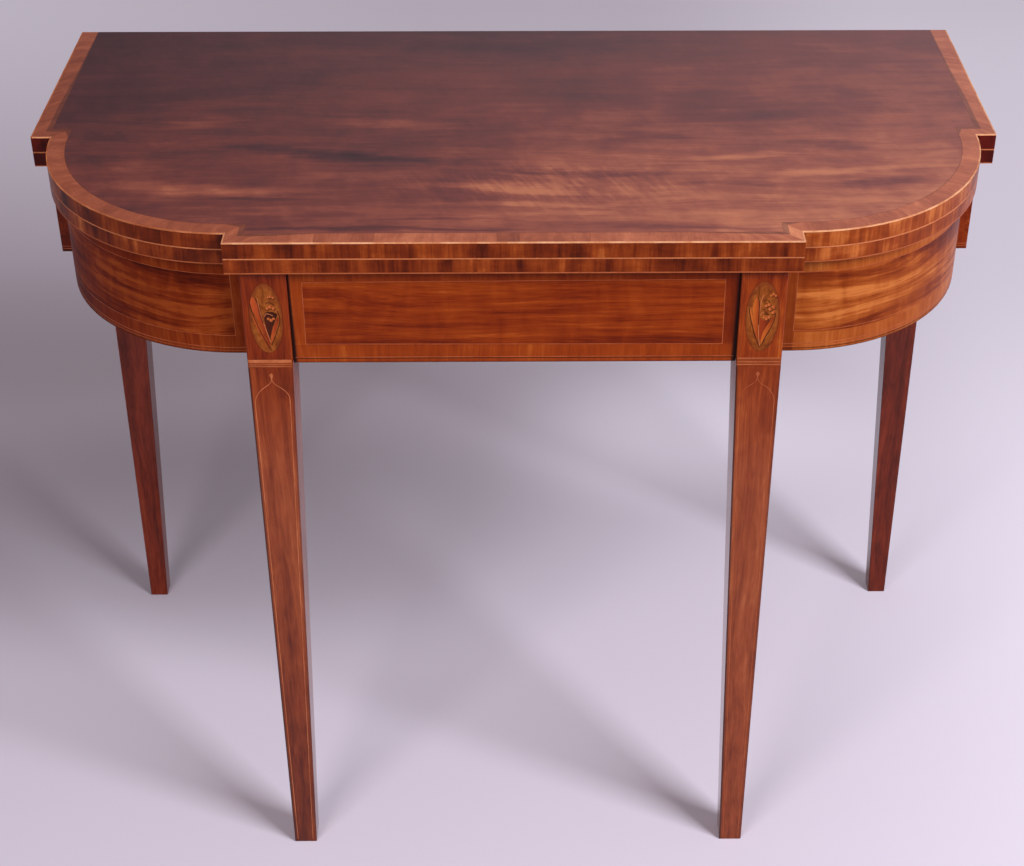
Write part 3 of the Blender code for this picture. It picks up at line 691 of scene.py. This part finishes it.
def shaded_leaf(name, light, dark):
    """Sand-shaded veneer, scorched darker towards one side of each piece."""
    surface = Surface(name, **POLISH)
    fibre = surface.place().noise((900, 900, 120))
    tone = surface.attribute("scorch") + (fibre - 0.5) * 0.5
    return surface.finish(tone.ramp([(0.15, linear(*light)), (0.9, linear(*dark))]), fibre, FINE_DEPTH)


def baize_material():
    """Green woollen cloth with a nap, faded in places."""
    surface = Surface("green_baize", roughness=0.95, sheen_weight=0.2, sheen_roughness=0.5)
    point = surface.place()
    nap = point.noise((1800, 1800, 1800), 3, 0.7)
    fade = point.noise((7, 7, 7), 3)
    return surface.finish((nap * 0.5 + fade * 0.5).ramp(BAIZE_STOPS), nap, NAP_DEPTH)


def metal(name, bright, dull, roughness):
    """Old metal, stained and finely scratched."""
    surface = Surface(name, metallic=1)
    point = surface.place()
    stain = point.noise((260, 260, 260), 4, 0.65)
    scratch = point.noise((900, 120, 2400))
    colour = stain.fit(0.35, 0.65).mix(bright, dull)
    return surface.finish(colour, scratch, FINE_DEPTH, stain.fit(0.3, 0.7, roughness, roughness + 0.25))


def floor_patch(x, y, centre_x, centre_y, half_x, half_y):
    """How far a place on the floor is from an oval's centre, with 1 at the oval's edge."""
    return reach((x - centre_x) / half_x, (y - centre_y) / half_y)


def floor_material():
    """Pale studio paper, greyer under the lamps and lighter behind the table as painted shade and light, and
    far off like the backdrop.
    """
    surface = Surface("studio_floor", roughness=0.9, specular_ior_level=0)
    place = surface.place()
    x, y, _ = surface.split(place)
    # Painted light: a glow makes the floor lighter behind the table, at the back left, to the right, and in
    # a patch behind the table's right half.
    back = y.fit(0.8, 2.1, 0, 0.13, smooth=True)
    left = y.fit(0.9, 2.1) * x.fit(-1.1, -0.2, 0.1, 0)
    right = x.fit(0.2, 0.8, smooth=True) * y.fit(-0.5, 0.5, 0.06, 0.24) * y.fit(0.6, 2.1, 1, 0.5)
    painted_light_patch = floor_patch(x, y, 0.24, 0.55, 0.34, 0.24).fit(0.1, 1, 0.17, 0, smooth=True)
    far = reach(x, y - 0.8).fit(2.1, 4.8, smooth=True)
    painted_glow = ((back + left) + (right + painted_light_patch)) * (1 - far) + far * BACKDROP_LEVEL
    seen = surface.ray("Camera") | surface.ray("Glossy") | surface.ray("Transmission")
    surface.feed(surface.inputs["Emission Color"], (*BACKDROP, 1))
    surface.feed(surface.inputs["Emission Strength"], painted_glow * seen)
    # Painted shade: greyer under the lamps, and a painted shadow behind the table's left half.
    lamps = reach((x - 0.8) * 0.6, y + 1.75).fit(0.35, 1.3, 0.55, 0, smooth=True)
    shaded = floor_patch(x, y, -0.37, 0.34, 0.64, 0.29).fit(0.4, 1.1, 0.33, 0, smooth=True)
    paper = place.noise((0.7, 0.7, 0.7), 3).mix(FLOOR_LIGHT, FLOOR_DARK)
    colour = (lamps | shaded).mix(paper, FLOOR_PAINTED_SHADE)
    return surface.finish(far.mix(colour, (0, 0, 0)))


# Shapes


def new_object(name, data):
    """An object with the given data, in the scene."""
    obj = bpy.data.objects.new(name, data)
    bpy.context.scene.collection.objects.link(obj)
    return obj


def half_outline(inset, back=BACK_Y):
    """The right half of the top's edge drawn in by inset, from the back round to the front."""
    radius = CORNER_RADIUS - inset
    side_x = TOP_HALF - inset
    points = [(side_x, back), (side_x, EAR_Y + inset), (FRONT_HALF + radius, EAR_Y + inset)]
    for i in range(ARC_STEPS + 1):
        angle = pi / 2 * i / ARC_STEPS
        points.append((FRONT_HALF + radius * cos(angle), EAR_Y - radius * sin(angle)))
    points += [(FRONT_HALF - inset, EAR_Y - radius), (FRONT_HALF - inset, FRONT_Y + inset)]
    return points


def add_object(name, bm, material, body, replaced=()):
    """Makes a piece of the visual model that rides on a body."""
    mesh = bpy.data.meshes.new(name)
    bmesh.ops.recalc_face_normals(bm, faces=bm.faces)
    bm.to_mesh(mesh)
    bm.free()
    obj = new_object(name, mesh)
    mesh.materials.append(material)
    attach(obj, body)
    if replaced:
        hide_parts(*replaced)
    return obj


def join_rows(bm, rows, closed=False):
    """The faces of a strip through rows of four points; closed says that it runs back to its start."""
    for near, far in zip(rows, rows[1:] + rows[:1] if closed else rows[1:]):
        for i in range(4):
            j = (i + 1) % 4
            bm.faces.new((near[i], near[j], far[j], far[i]))
    if not closed:
        bm.faces.new(rows[0])
        bm.faces.new(rows[-1][::-1])


def join_rings(bm, top, low):
    """The faces of a slab between two rings of points."""
    bm.faces.new(top)
    bm.faces.new(low[::-1])
    for i in range(len(top)):
        j = (i + 1) % len(top)
        bm.faces.new((top[i], low[i], low[j], top[j]))


def add_slab(bm, loop, lift):
    """A thin slab let in, round a loop of (point, normal) pairs; it stands lift proud."""
    top = [bm.verts.new(point + normal * lift) for point, normal in loop]
    low = [bm.verts.new(point - normal * STRING_SUNK) for point, normal in loop]
    join_rings(bm, top, low)


def add_ribbon(bm, path, normals, width, closed=False):
    """A line inlay along a path on a surface with the given normals, with mitred corners."""
    count = len(path)
    rows = []
    for i, (point, normal) in enumerate(zip(path, normals)):
        sides = []
        if closed or i:
            sides.append(normal.cross(point - path[i - 1]).normalized())
        if closed or i < count - 1:
            sides.append(normal.cross(path[(i + 1) % count] - point).normalized())
        side = sum(sides, Vector()).normalized()
        aside = side * (width / 2 / max(0.5, side.dot(sides[0])))
        corners = ((1, STRING_PROUD), (-1, STRING_PROUD), (-1, -STRING_SUNK), (1, -STRING_SUNK))
        rows.append([bm.verts.new(point + aside * hand + normal * lift) for hand, lift in corners])
    join_rows(bm, rows, closed)


def flat_line(bm, points, y, width=FINE_LINE, closed=False):
    """A line inlay on a face that looks to the front at y; points are (x, z)."""
    add_ribbon(bm, [Vector((x, y, z)) for x, z in points], [FORWARD] * len(points), width, closed)


def curve_line(bm, side, z, start, width=FINE_LINE):
    """A level line inlay round an apron, from an angle off straight ahead, or from the leg if below 0."""
    path, normals = [], []
    if start < 0:
        path.append(Vector((side * LEG_OUTER_X, APRON_FACE_Y, z)))
        normals.append(FORWARD)
        start = 0
    for i in range(ARC_STEPS + 1):
        angle = start + (pi / 2 - start) * i / ARC_STEPS
        normal = Vector((side * sin(angle), -cos(angle), 0))
        path.append(Vector((side * FRONT_HALF, EAR_Y, z)) + normal * APRON_RADIUS)
        normals.append(normal)
    add_ribbon(bm, path, normals, width)


def smooth_path(points):
    """Points on a smooth curve through the given ones."""
    ends = [points[0]] + list(points) + [points[-1]]
    result = []
    for a, b, c, d in zip(ends, ends[1:], ends[2:], ends[3:]):
        for i in range(SMOOTH_STEPS):
            t = i / SMOOTH_STEPS
            result.append(tuple(
                0.5 * (2 * q + (r - p) * t + (2 * p - 5 * q + 4 * r - s) * t * t
                       + (3 * q - p - 3 * r + s) * t ** 3)
                for p, q, r, s in zip(a, b, c, d)
            ))
    result.append(tuple(points[-1]))
    return result


# Pieces


# Each end's crossband: share of the first joint, two joints on the curve, then each piece's tone
SIDE_CUTS = {
    1: (0.36, 9, 21, (0.6, 0.72, 0.5, 0.58, 0.66, 0.58, 0.54, 0.9)),
    -1: (0.42, 7, 18, (0.47, 0.41, 0.45, 0.4, 0.42, 0.46, 0.46, 0.52)),
}
SECOND_SHARE = 0.93
# Both of these joints are added to the outline, so that its later points lie two further on
ADDED = 2
GRAIN_SHIFT = 0.05
FRONT_JOINTS = [0.2333, 0.15, 0.066, 0.005, -0.014, -0.055, -0.12, -0.172, -0.2333]
FRONT_TONES = [0.62, 0.66, 0.5, 0.3, 0.58, 0.7, 0.54, 0.62]


def between(near, far, share):
    """The pair of points at a share of the way from one pair to another."""
    return tuple(tuple(a + (b - a) * share for a, b in zip(*ends)) for ends in zip(near, far))


def trimmed(pairs):
    """Draws the ends of a run of point pairs in by half a joint."""
    pairs = [(Vector(o), Vector(n)) for o, n in pairs]
    for end, near in ((0, 1), (-1, -2)):
        ends = zip(pairs[end], pairs[near])
        pairs[end] = tuple(a + (b - a).normalized() * (CROSSBAND_JOINT / 2) for a, b in ends)
    return pairs


def add_crossband_piece(bm, layers, pairs, tone, start):
    """One piece of crossbanding through pairs of outer and inner points; its grain is counted from start."""
    top, low = TOP_Z, TOP_Z - CROSSBAND_THICKNESS
    rows = []
    length = start
    for i, (outer, inner) in enumerate(pairs):
        if i:
            length += dist(outer, pairs[i - 1][0])
        corners = ((outer, top), (inner, top), (inner, low), (outer, low))
        ring = [bm.verts.new((*point, z)) for point, z in corners]
        width = dist(outer, inner)
        for vert, across in zip(ring, (0, width, width, 0)):
            vert[layers[0]] = (length, across, 0)
            vert[layers[1]] = tone
        rows.append(ring)
    join_rows(bm, rows)


def make_crossband(material):
    """The crossbanded border of the top, as separate pieces with hairline joints."""
    bm = bmesh.new()
    layers = (bm.verts.layers.float_vector.new("band"), bm.verts.layers.float.new("tone"))
    for side, (first, near_arc, far_arc, tones) in SIDE_CUTS.items():
        right = list(zip(half_outline(CROSSBAND_OUTER), half_outline(CROSSBAND_INNER)))
        right[1:1] = [between(right[0], right[1], share) for share in (first, SECOND_SHARE)]
        arc = ARC_START + ADDED
        corners = (STEP_CORNER + ADDED, FRONT_CORNER + ADDED)
        joints = (0, 1, 2, 3, arc, arc + near_arc, arc + far_arc, *corners)
        for i, j, tone in zip(joints, joints[1:], tones):
            pairs = [((side * o.x, o.y), (side * n.x, n.y)) for o, n in trimmed(right[i:j + 1])]
            add_crossband_piece(bm, layers, pairs, tone, side * max(0, i - ADDED) * GRAIN_SHIFT)
    outer_y, inner_y = FRONT_Y + CROSSBAND_OUTER, FRONT_Y + CROSSBAND_INNER
    slant = CROSSBAND_INNER - CROSSBAND_OUTER
    for a, b, tone in zip(FRONT_JOINTS, FRONT_JOINTS[1:], FRONT_TONES):
        outer_a = a + slant if a == FRONT_JOINTS[0] else a
        outer_b = b - slant if b == FRONT_JOINTS[-1] else b
        pairs = trimmed([((outer_a, outer_y), (a, inner_y)), ((outer_b, outer_y), (b, inner_y))])
        add_crossband_piece(bm, layers, pairs, tone, a)
    add_object("upper_leaf_crossbanding", bm, material, "flap", ["upper_leaf_crossband"])


def add_lines(name, bm, material):
    """Makes a piece of stringing on the frame."""
    add_object(name, bm, material, "frame")


def make_stringing(line, dull):
    """The light lines of the frieze and the legs."""
    rail = bmesh.new()
    flat_line(rail, RAIL_PANEL_LINE, RAIL_FACE_Y, closed=True)
    flat_line(rail, [(-RAIL_END, RAIL_LINE_Z), (RAIL_END, RAIL_LINE_Z)], RAIL_FACE_Y, STRING_WIDTH)
    add_lines("front_rail_stringing", rail, dull)
    for side, name in ((-1, "left"), (1, "right")):
        make_apron_lines(side, name, dull)
        make_leg_lines(side, name, line if side < 0 else dull, line)


def make_apron_lines(side, name, material):
    """The lines of an apron's panel and lower edge, and those of the side rail's end beside it."""
    low, pair = APRON_LINES[side]
    bm = bmesh.new()
    curve_line(bm, side, APRON_HIGH_LINE_Z, APRON_LINE_START)
    curve_line(bm, side, low, APRON_LINE_START)
    upright = [(side * APRON_UPRIGHT_X, z) for z in (low, APRON_HIGH_LINE_Z)]
    flat_line(bm, upright, APRON_FACE_Y)
    curve_line(bm, side, pair, -1, STRING_WIDTH)
    curve_line(bm, side, pair - APRON_PAIR_GAP, -1)
    add_lines(f"{name}_apron_stringing", bm, material)
    ends = bmesh.new()
    for z in SIDE_RAIL_LINES_Z:
        flat_line(ends, [(side * x, z) for x in SIDE_RAIL_LINE_X], SIDE_RAIL_FRONT_Y)
    add_lines(f"{name}_side_rail_stringing", ends, material)


def leg_inner_edge(z):
    """Where the inner edge of the right leg is at a height."""
    foot_x = LEG_OUTER_X - FOOT_WIDTH
    return foot_x - (foot_x - LEG_INNER_X) * min(1, z / FRIEZE_LOW)


def make_leg_lines(side, name, leg_line, band_line):
    """A leg's ogee-headed line with its small lozenge, and the lines of its band."""
    bm = bmesh.new()
    outer = [(LEG_MIDDLE_X + x, z) for x, z in OGEE]
    outer += [(LEG_OUTER_X - x, z) for x, z in zip(OUTER_INSETS, LINE_BEND_Z)]
    inner = [(LEG_MIDDLE_X - x, z) for x, z in OGEE]
    inner += [(leg_inner_edge(z) + x, z) for x, z in zip(INNER_INSETS, LINE_BEND_Z)]
    outer_foot = (LEG_OUTER_X - OUTER_INSETS[-1], LINE_FOOT_Z)
    inner_foot = (leg_inner_edge(LINE_FOOT_Z) + INNER_INSETS[-1], LINE_FOOT_Z)
    for curve, foot in ((outer, outer_foot), (inner, inner_foot)):
        flat_line(bm, [(side * x, z) for x, z in smooth_path(curve) + [foot]], LEG_FACE_Y)
    high, middle, low = LOZENGE_Z
    lozenge = [(0, high), (LOZENGE_HALF, middle), (0, low), (-LOZENGE_HALF, middle)]
    corners = [(Vector((side * (LEG_MIDDLE_X + x), LEG_FACE_Y, z)), FORWARD) for x, z in lozenge]
    add_slab(bm, corners, STRING_PROUD * 1.5)
    add_lines(f"{name}_leg_stringing", bm, leg_line)
    band = bmesh.new()
    ends = (LEG_OUTER_X - BAND_LINE_INSET, LEG_INNER_X + BAND_LINE_INSET)
    for z, width in BAND_LINES[side]:
        flat_line(band, [(side * x, z) for x in ends], LEG_FACE_Y, width)
    add_lines(f"{name}_leg_band_lines", band, band_line)


# The two marquetry sprays, in points (across, up) in hundredths of the oval's half width and half height;
# a bell has its radius as a third number
LEFT_SPRAY = {
    "leaves": [
        (
            (-76, 62), (-88, 46), (-79, 24), (-56, 1), (-33, -27), (-8, -58), (12, -84),
            (8, -60), (-5, -40), (-20, -12), (-36, 17), (-46, 44), (-60, 58),
        ),
        (
            (-86, 20), (-72, -12), (-45, -43), (-12, -74), (20, -95),
            (4, -76), (-20, -50), (-45, -22), (-68, 4),
        ),
        ((70, 6), (76, -6), (56, -31), (34, -56), (18, -74), (22, -50), (38, -24), (58, -8)),
    ],
    "heart": (
        (-12, 10), (5, 19), (42, 19), (70, 12), (54, -8),
        (34, -26), (20, -50), (14, -62), (2, -42), (-10, -12),
    ),
    "stem": ((-42, 56), (-38, 36), (-32, 16), (-16, -15), (2, -48), (14, -68)),
    "bells": (
        (24, 60, 8), (38, 62, 9), (52, 59, 8), (14, 29, 10), (32, 33, 12), (50, 29, 10),
        (14, -1, 9), (30, -5, 11), (46, -1, 9),
    ),
    "pale": ((-10, 5), (2, 13), (22, 12), (42, 7)),
    "dark": [
        ((-90, 44), (-80, 18), (-62, -10), (-36, -42), (-10, -70), (16, -93)),
        ((-56, 60), (-44, 44), (-35, 16), (-18, -14)),
        ((72, 22), (82, -4), (62, -34), (38, -60), (20, -78)),
        ((6, 42), (20, 45), (40, 43), (56, 36)),
    ],
}
RIGHT_SPRAY = {
    "leaves": [
        (
            (-40, 58), (-55, 43), (-62, 24), (-52, 0), (-37, -28), (-20, -56), (-14, -62),
            (-20, -28), (-22, 6), (-24, 37),
        ),
        (
            (-78, 26), (-68, 0), (-50, -28), (-31, -55), (-4, -84),
            (-14, -66), (-26, -46), (-42, -18), (-60, 8),
        ),
        ((66, 2), (72, -6), (53, -31), (27, -54), (4, -80), (0, -70), (11, -46), (34, -24), (52, -10)),
    ],
    "heart": ((-14, -2), (5, -10), (52, -10), (34, -26), (12, -46), (0, -68), (-8, -60), (-13, -30)),
    "stem": ((-1, 62), (-10, 50), (-15, 34), (-18, 10), (-18, -16), (-14, -52), (-4, -84)),
    "bells": (
        (46, 60, 8), (60, 64, 9), (73, 60, 8), (21, 31, 10), (38, 34, 11), (46, 22, 13), (62, 26, 13),
        (64, 12, 12), (11, -2, 9), (27, -6, 11), (43, -2, 9),
    ),
    "pale": ((-12, 4), (-4, 10), (8, 12)),
    "dark": [
        ((-82, 26), (-72, -2), (-54, -30), (-34, -58), (-5, -88)),
        ((-34, 56), (-22, 38), (-20, 6), (-19, -24)),
        ((78, 8), (74, -10), (55, -34), (29, -58), (4, -86)),
        ((2, 44), (16, 48), (32, 45), (42, 38)),
        ((0, 20), (10, 22), (16, 12), (34, 8)),
        ((10, 8), (24, 6), (40, 6)),
    ],
}


def shares(points):
    """A spray's points as shares of the oval's half width and half height."""
    return [tuple(number / 100 for number in point) for point in points]


def spray_point(side, u, v):
    """A point of a spray on the face of a leg's head."""
    return Vector((side * LEG_MIDDLE_X + OVAL_HALF_WIDTH * u, LEG_FACE_Y, OVAL_Z + OVAL_HALF_HEIGHT * v))


def add_shape(bm, side, points, lift, grow=0):
    """A flat piece of marquetry; its scorch value runs from 0 on its left to 1 on its right."""
    layer = bm.verts.layers.float["scorch"]
    middle = (sum(p[0] for p in points) / len(points), sum(p[1] for p in points) / len(points))
    first = len(bm.verts)
    grown = [(x + (x - middle[0]) * grow, y + (y - middle[1]) * grow) for x, y in points]
    add_slab(bm, [(spray_point(side, u, v), FORWARD) for u, v in grown], lift)
    bm.verts.ensure_lookup_table()
    low, high = min(p[0] for p in grown), max(p[0] for p in grown)
    for vert in bm.verts[first:]:
        u = (vert.co.x - side * LEG_MIDDLE_X) / OVAL_HALF_WIDTH
        vert[layer] = (u - low) / (high - low)


def make_spray(side, name, spray, materials):
    """The flower spray let into an oval: scorched outlines, leaves, heart, bells and stem."""
    shapes = {key: bmesh.new() for key in ("shade", "leaves", "heart", "bells", "stems")}
    for bm in shapes.values():
        bm.verts.layers.float.new("scorch")
    add_shape(shapes["heart"], side, shares(spray["heart"]), HEART_PROUD)
    for outline in spray["leaves"]:
        add_shape(shapes["leaves"], side, shares(outline), LEAF_PROUD)
    angles = [tau * i / BELL_STEPS for i in range(BELL_STEPS)]
    for u, v, radius in shares(spray["bells"]):
        circle = [(u + radius * cos(a), v + radius * BELL_SQUASH * sin(a)) for a in angles]
        shadow = [(x + SHADE_OFFSET, y - SHADE_OFFSET) for x, y in circle]
        add_shape(shapes["shade"], side, shadow, SHADE_PROUD, SHADE_GROWTH)
        add_shape(shapes["bells"], side, circle, BELL_PROUD)
    lines = [(spray["stem"], "stems", STEM_WIDTH), (spray["pale"], "stems", STEM_WIDTH)]
    lines += [(arc, "shade", DARK_WIDTH) for arc in spray["dark"]]
    for path, key, width in lines:
        points = [spray_point(side, u, v) for u, v in smooth_path(shares(path))]
        add_ribbon(shapes[key], points, [FORWARD] * len(points), width)
    for key, material in materials.items():
        add_object(f"{name}_marquetry_{key}", shapes[key], material, "frame")


def make_baize(name, node, body, material):
    """The cloth of one leaf, let in flush with the wood round it."""
    low_corner, high_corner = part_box(node)
    right = half_outline(BAIZE_BORDER, BACK_Y - BAIZE_BACK_BORDER)
    outline = right + [(-x, y) for x, y in reversed(right)]
    kept = [outline[0]]
    for point in outline[1:]:
        if dist(point, kept[-1]) > BAIZE_SHORTEST_EDGE:
            kept.append(point)
    bm = bmesh.new()
    low_face = [bm.verts.new((x, y, low_corner.z + BAIZE_GAP)) for x, y in kept]
    high_face = [bm.verts.new((x, y, high_corner.z - BAIZE_GAP)) for x, y in kept]
    join_rings(bm, high_face, low_face)
    area = abs(sum(a[0] * b[1] - b[0] * a[1] for a, b in zip(kept, kept[1:] + kept[:1]))) / 2
    width, depth = (max(p[k] for p in kept) - min(p[k] for p in kept) for k in (0, 1))
    cloth = add_object(name, bm, material, body, [node])


# Dressing


def paint(material, *names):
    """Gives CAD nodes a material."""
    for name in names:
        materials = nodes[name].data.materials
        materials.clear()
        materials.append(material)


def numbered(name, count=4):
    """The names of a node that the frame holds several of."""
    return [f"{name}_{i}" for i in range(1, count + 1)]


PLAIN_FIGURE = dict(broad=(3, 46), streak=(8, 190), figure=(60, 22), weights=(0.24, 0.24, 0.15, 0.1))
BOLD_FIGURE = dict(broad=(2.6, 34), streak=(5, 110), figure=(60, 22), weights=(0.56, 0.46, 0.14, 0.16))
# For each hand: its side and seed, the palettes of apron and side rail, how much darker the front and rear
# leg are (on the front leg's head as painted light and shade), and the apron's lift (on the left, painted
# light and shade) and coat
HANDS = {
    "left": (
        -1, 21, DEEP_PALETTE, DEEP_PALETTE,
        (0.19, 0, 0.17, 0.02, 0), (0, 0), left_apron_lift, 0.12,
    ),
    "right": (
        1, 34, GOLD_PALETTE, RAIL_PALETTE,
        (0.1, -0.13, -0.04, -0.26, 0.1), (0.05, 0.17), right_apron_lift, 0.25,
    ),
}


def dress_frieze():
    """Veneer for the rails and aprons, and wood for the legs and fly rails."""
    rail = veneered("front_rail_veneer", RAIL_PALETTE, "XZY", 11, rail_masks, rail_lift, **PLAIN_FIGURE)
    paint(rail, "front_rail")
    for name, (side, seed, palette, side_palette, worn, rear_darkening, lift, coat) in HANDS.items():
        curve = dict(BOLD_FIGURE, wander=0.018, curved=True)
        apron = veneered(f"{name}_apron_veneer", palette, "XZY", seed, apron_masks, lift, coat, **curve)
        paint(apron, f"{name}_apron")
        rail = veneered(f"{name}_side_veneer", side_palette, "YZX", seed + 3, side_masks, **PLAIN_FIGURE)
        paint(rail, f"{name}_side_rail")
        front = leg_wood(f"{name}_front_leg_wood", LEG_PALETTE, RAIL_PALETTE, seed + 1, side, worn)
        paint(front, f"{name}_front_leg")
        worn = (*rear_darkening, 0, 0, 0)
        palettes = (DARK_LEG_PALETTE, DARK_LEG_PALETTE)
        rear = leg_wood(f"{name}_rear_leg_wood", *palettes, seed + 2, side, worn, REAR_POLISH)
        paint(rear, f"{name}_rear_leg")
        paint(wood(f"{name}_leg_band_wood", LEG_PALETTE, "XZY", seed + 4), f"{name}_leg_band")
        paint(raw_wood(f"{name}_fly_rail_wood", "XZY", seed + 6), f"{name}_fly_rail")


def dress_leaves():
    """Veneer, edge bands and strings of the two leaves."""
    paint(top_material(), "upper_leaf")
    inside = dict(DULL_POLISH, coat_weight=INSIDE_COAT)
    lower = wood("lower_leaf_wood", TOP_PALETTE, "XYZ", 7, inside, broad=(2, 26), streak=(4.5, 110))
    paint(lower, "lower_leaf")
    upper_lifts = [(-0.1, 0.05, 0.11), (0.236, 0.262, -0.11)]
    lower_lifts = [(-0.1, 0, 0.14), (0.05, 0.12, -0.24), (0.236, 0.262, 0.1)]
    paint(edge_band_material("upper_edge_veneer", 1.3, upper_lifts), "upper_leaf_edge_band")
    paint(edge_band_material("lower_edge_veneer", 4.1, lower_lifts), "lower_leaf_edge_band")
    paint(arris_material(), "upper_leaf_string")
    paint(boxwood("joint_boxwood", LINE_PALETTE, 0.05), "lower_leaf_top_string")
    paint(boxwood("lower_boxwood", DULL_LINE_PALETTE, 0.05), "lower_leaf_bottom_string")


def dress_hidden():
    """Raw wood of the hidden timbers, the ovals' ground, and the metals."""
    paint(raw_wood("back_rail_wood", "XZY", 51), "back_rail", "knuckle_rail")
    paint(raw_wood("brace_wood", "YZX", 53), "cross_brace")
    paint(raw_wood("block_wood", "XYZ", 55), *numbered("glue_block"))
    paint(raw_wood("corner_block_wood", "ZXY", 57), "left_corner_block", "right_corner_block")
    paint(marquetry_ground(), "left_marquetry_oval", "right_marquetry_oval")
    brass = metal("hinge_brass", (0.62, 0.42, 0.16), (0.34, 0.22, 0.09), 0.28)
    paint(brass, "left_hinge_pin", "right_hinge_pin")
    for level in ("upper", "lower"):
        plates = [f"{name}_{level}_hinge_plate" for name in HANDS]
        paint(brass, *plates, *numbered(f"{level}_hinge_screw"))
    iron = metal("old_iron", (0.2, 0.18, 0.165), (0.1, 0.065, 0.045), 0.42)
    paint(iron, "left_knuckle_pin", "right_knuckle_pin")
    paint(iron, *numbered("top_screw"), *numbered("knuckle_rail_screw"))


# Each hand's spray, with the light and dark 8-bit colours of its leaves and of its heart
SPRAYS = {
    "left": (-1, LEFT_SPRAY, ((172, 74, 32), (122, 38, 15)), ((70, 26, 12), (54, 20, 10))),
    "right": (1, RIGHT_SPRAY, ((184, 92, 34), (134, 48, 14)), ((138, 50, 18), (98, 34, 13))),
}


def dress_details():
    """The finer pieces: crossbanding, stringing, sprays and cloth."""
    make_crossband(crossband_material())
    line = boxwood("boxwood_line", LINE_PALETTE, 0.25)
    dull = boxwood("dull_boxwood_line", DULL_LINE_PALETTE, 0.2)
    make_stringing(line, dull)
    materials = {
        "bells": shaded_leaf("bell_veneer", (196, 108, 54), (140, 60, 26)),
        "shade": shaded_leaf("scorched_veneer", (60, 22, 10), (76, 30, 14)),
        "stems": boxwood("stem_veneer", LINE_PALETTE, 0),
    }
    for name, (side, spray, leaf, heart) in SPRAYS.items():
        materials["leaves"] = shaded_leaf(f"{name}_leaf_veneer", *leaf)
        materials["heart"] = shaded_leaf(f"{name}_heart_veneer", *heart)
        make_spray(side, name, spray, materials)
    cloth = baize_material()
    make_baize("lower_baize_cloth", "lower_leaf_baize", "frame", cloth)
    make_baize("upper_baize_cloth", "upper_leaf_baize", "flap", cloth)


# Studio


def add_light(name, place, target, size, power, colour):
    """A square soft light at a place, turned to a target."""
    light = bpy.data.lights.new(name, "AREA")
    light.shape = "SQUARE"
    light.size = size
    light.energy = power
    light.color = colour
    obj = new_object(name, light)
    obj.location = place
    obj.rotation_mode = "QUATERNION"
    obj.rotation_quaternion = (Vector(target) - Vector(place)).to_track_quat("-Z", "Y")


def make_world():
    """Soft light, a plain backdrop for the camera, and for gloss a room that is brighter on the right."""
    world = bpy.data.worlds.new("studio")
    bpy.context.scene.world = world
    world.use_nodes = True
    graph = Graph(world.node_tree)
    background = graph.tree.nodes["Background"].inputs
    background["Strength"].default_value = 1
    across = graph.split(graph.place("Generated"))[0]
    through = graph.ray("Camera") | graph.ray("Transmission")
    room = across.fit(-0.3, 0.3).mix(ROOM_LEFT, ROOM_RIGHT)
    lit = graph.ray("Glossy").mix(ROOM_SOFT, room)
    backdrop = tuple(BACKDROP_LEVEL * c for c in BACKDROP)
    graph.feed(background["Color"], through.mix(lit, backdrop))


def make_studio():
    """The floor, the room and the two lamps."""
    mesh = bpy.data.meshes.new("studio_floor")
    corners = [(x * FLOOR_REACH, y * FLOOR_REACH, 0) for x, y in ((-1, -1), (1, -1), (1, 1), (-1, 1))]
    mesh.from_pydata(corners, [], [(0, 1, 2, 3)])
    floor = new_object("studio_floor", mesh)
    floor.location.z = -FLOOR_GAP
    mesh.materials.append(floor_material())
    make_world()
    add_light("key_softbox", (2.05, -1.72, 2.35), (0.1, 0, 0.5), 1.2, 103, (1, 0.98, 0.975))
    add_light("fill_softbox", (-1, -1.9, 2.1), (-0.1, 0, 0.5), 0.9, 24, (1, 0.93, 0.9))


def make_camera():
    """The photograph's viewpoint; the shift puts the view's middle where the photograph has it."""
    level = Vector((sin(CAMERA_YAW), cos(CAMERA_YAW), 0)) * cos(CAMERA_PITCH)
    forward = level - Vector((0, 0, sin(CAMERA_PITCH)))
    right = forward.cross(Vector((0, 0, 1))).normalized()
    up = right.cross(forward)
    cosine, sine = cos(CAMERA_ROLL), sin(CAMERA_ROLL)
    right, up = right * cosine + up * sine, up * cosine - right * sine
    camera = new_object("camera", bpy.data.cameras.new("camera"))
    turn = Matrix((right, up, -forward)).transposed().to_4x4()
    camera.matrix_world = Matrix.Translation(CAMERA_PLACE) @ turn
    camera.data.sensor_width = SENSOR_WIDTH
    camera.data.lens = FOCAL_PIXELS / PHOTO_WIDTH * SENSOR_WIDTH
    camera.data.shift_x = (PHOTO_WIDTH / 2 - CENTRE_PIXELS[0]) / PHOTO_WIDTH
    camera.data.shift_y = (CENTRE_PIXELS[1] - PHOTO_HEIGHT / 2) / PHOTO_WIDTH
    camera.data.clip_start = 0.01
    bpy.context.scene.camera = camera


def main():
    """Dresses the frame and sets up the studio."""
    bpy.context.scene.view_settings.view_transform = "Standard"
    dress_frieze()
    dress_leaves()
    dress_hidden()
    dress_details()
    make_studio()
    make_camera()


main()
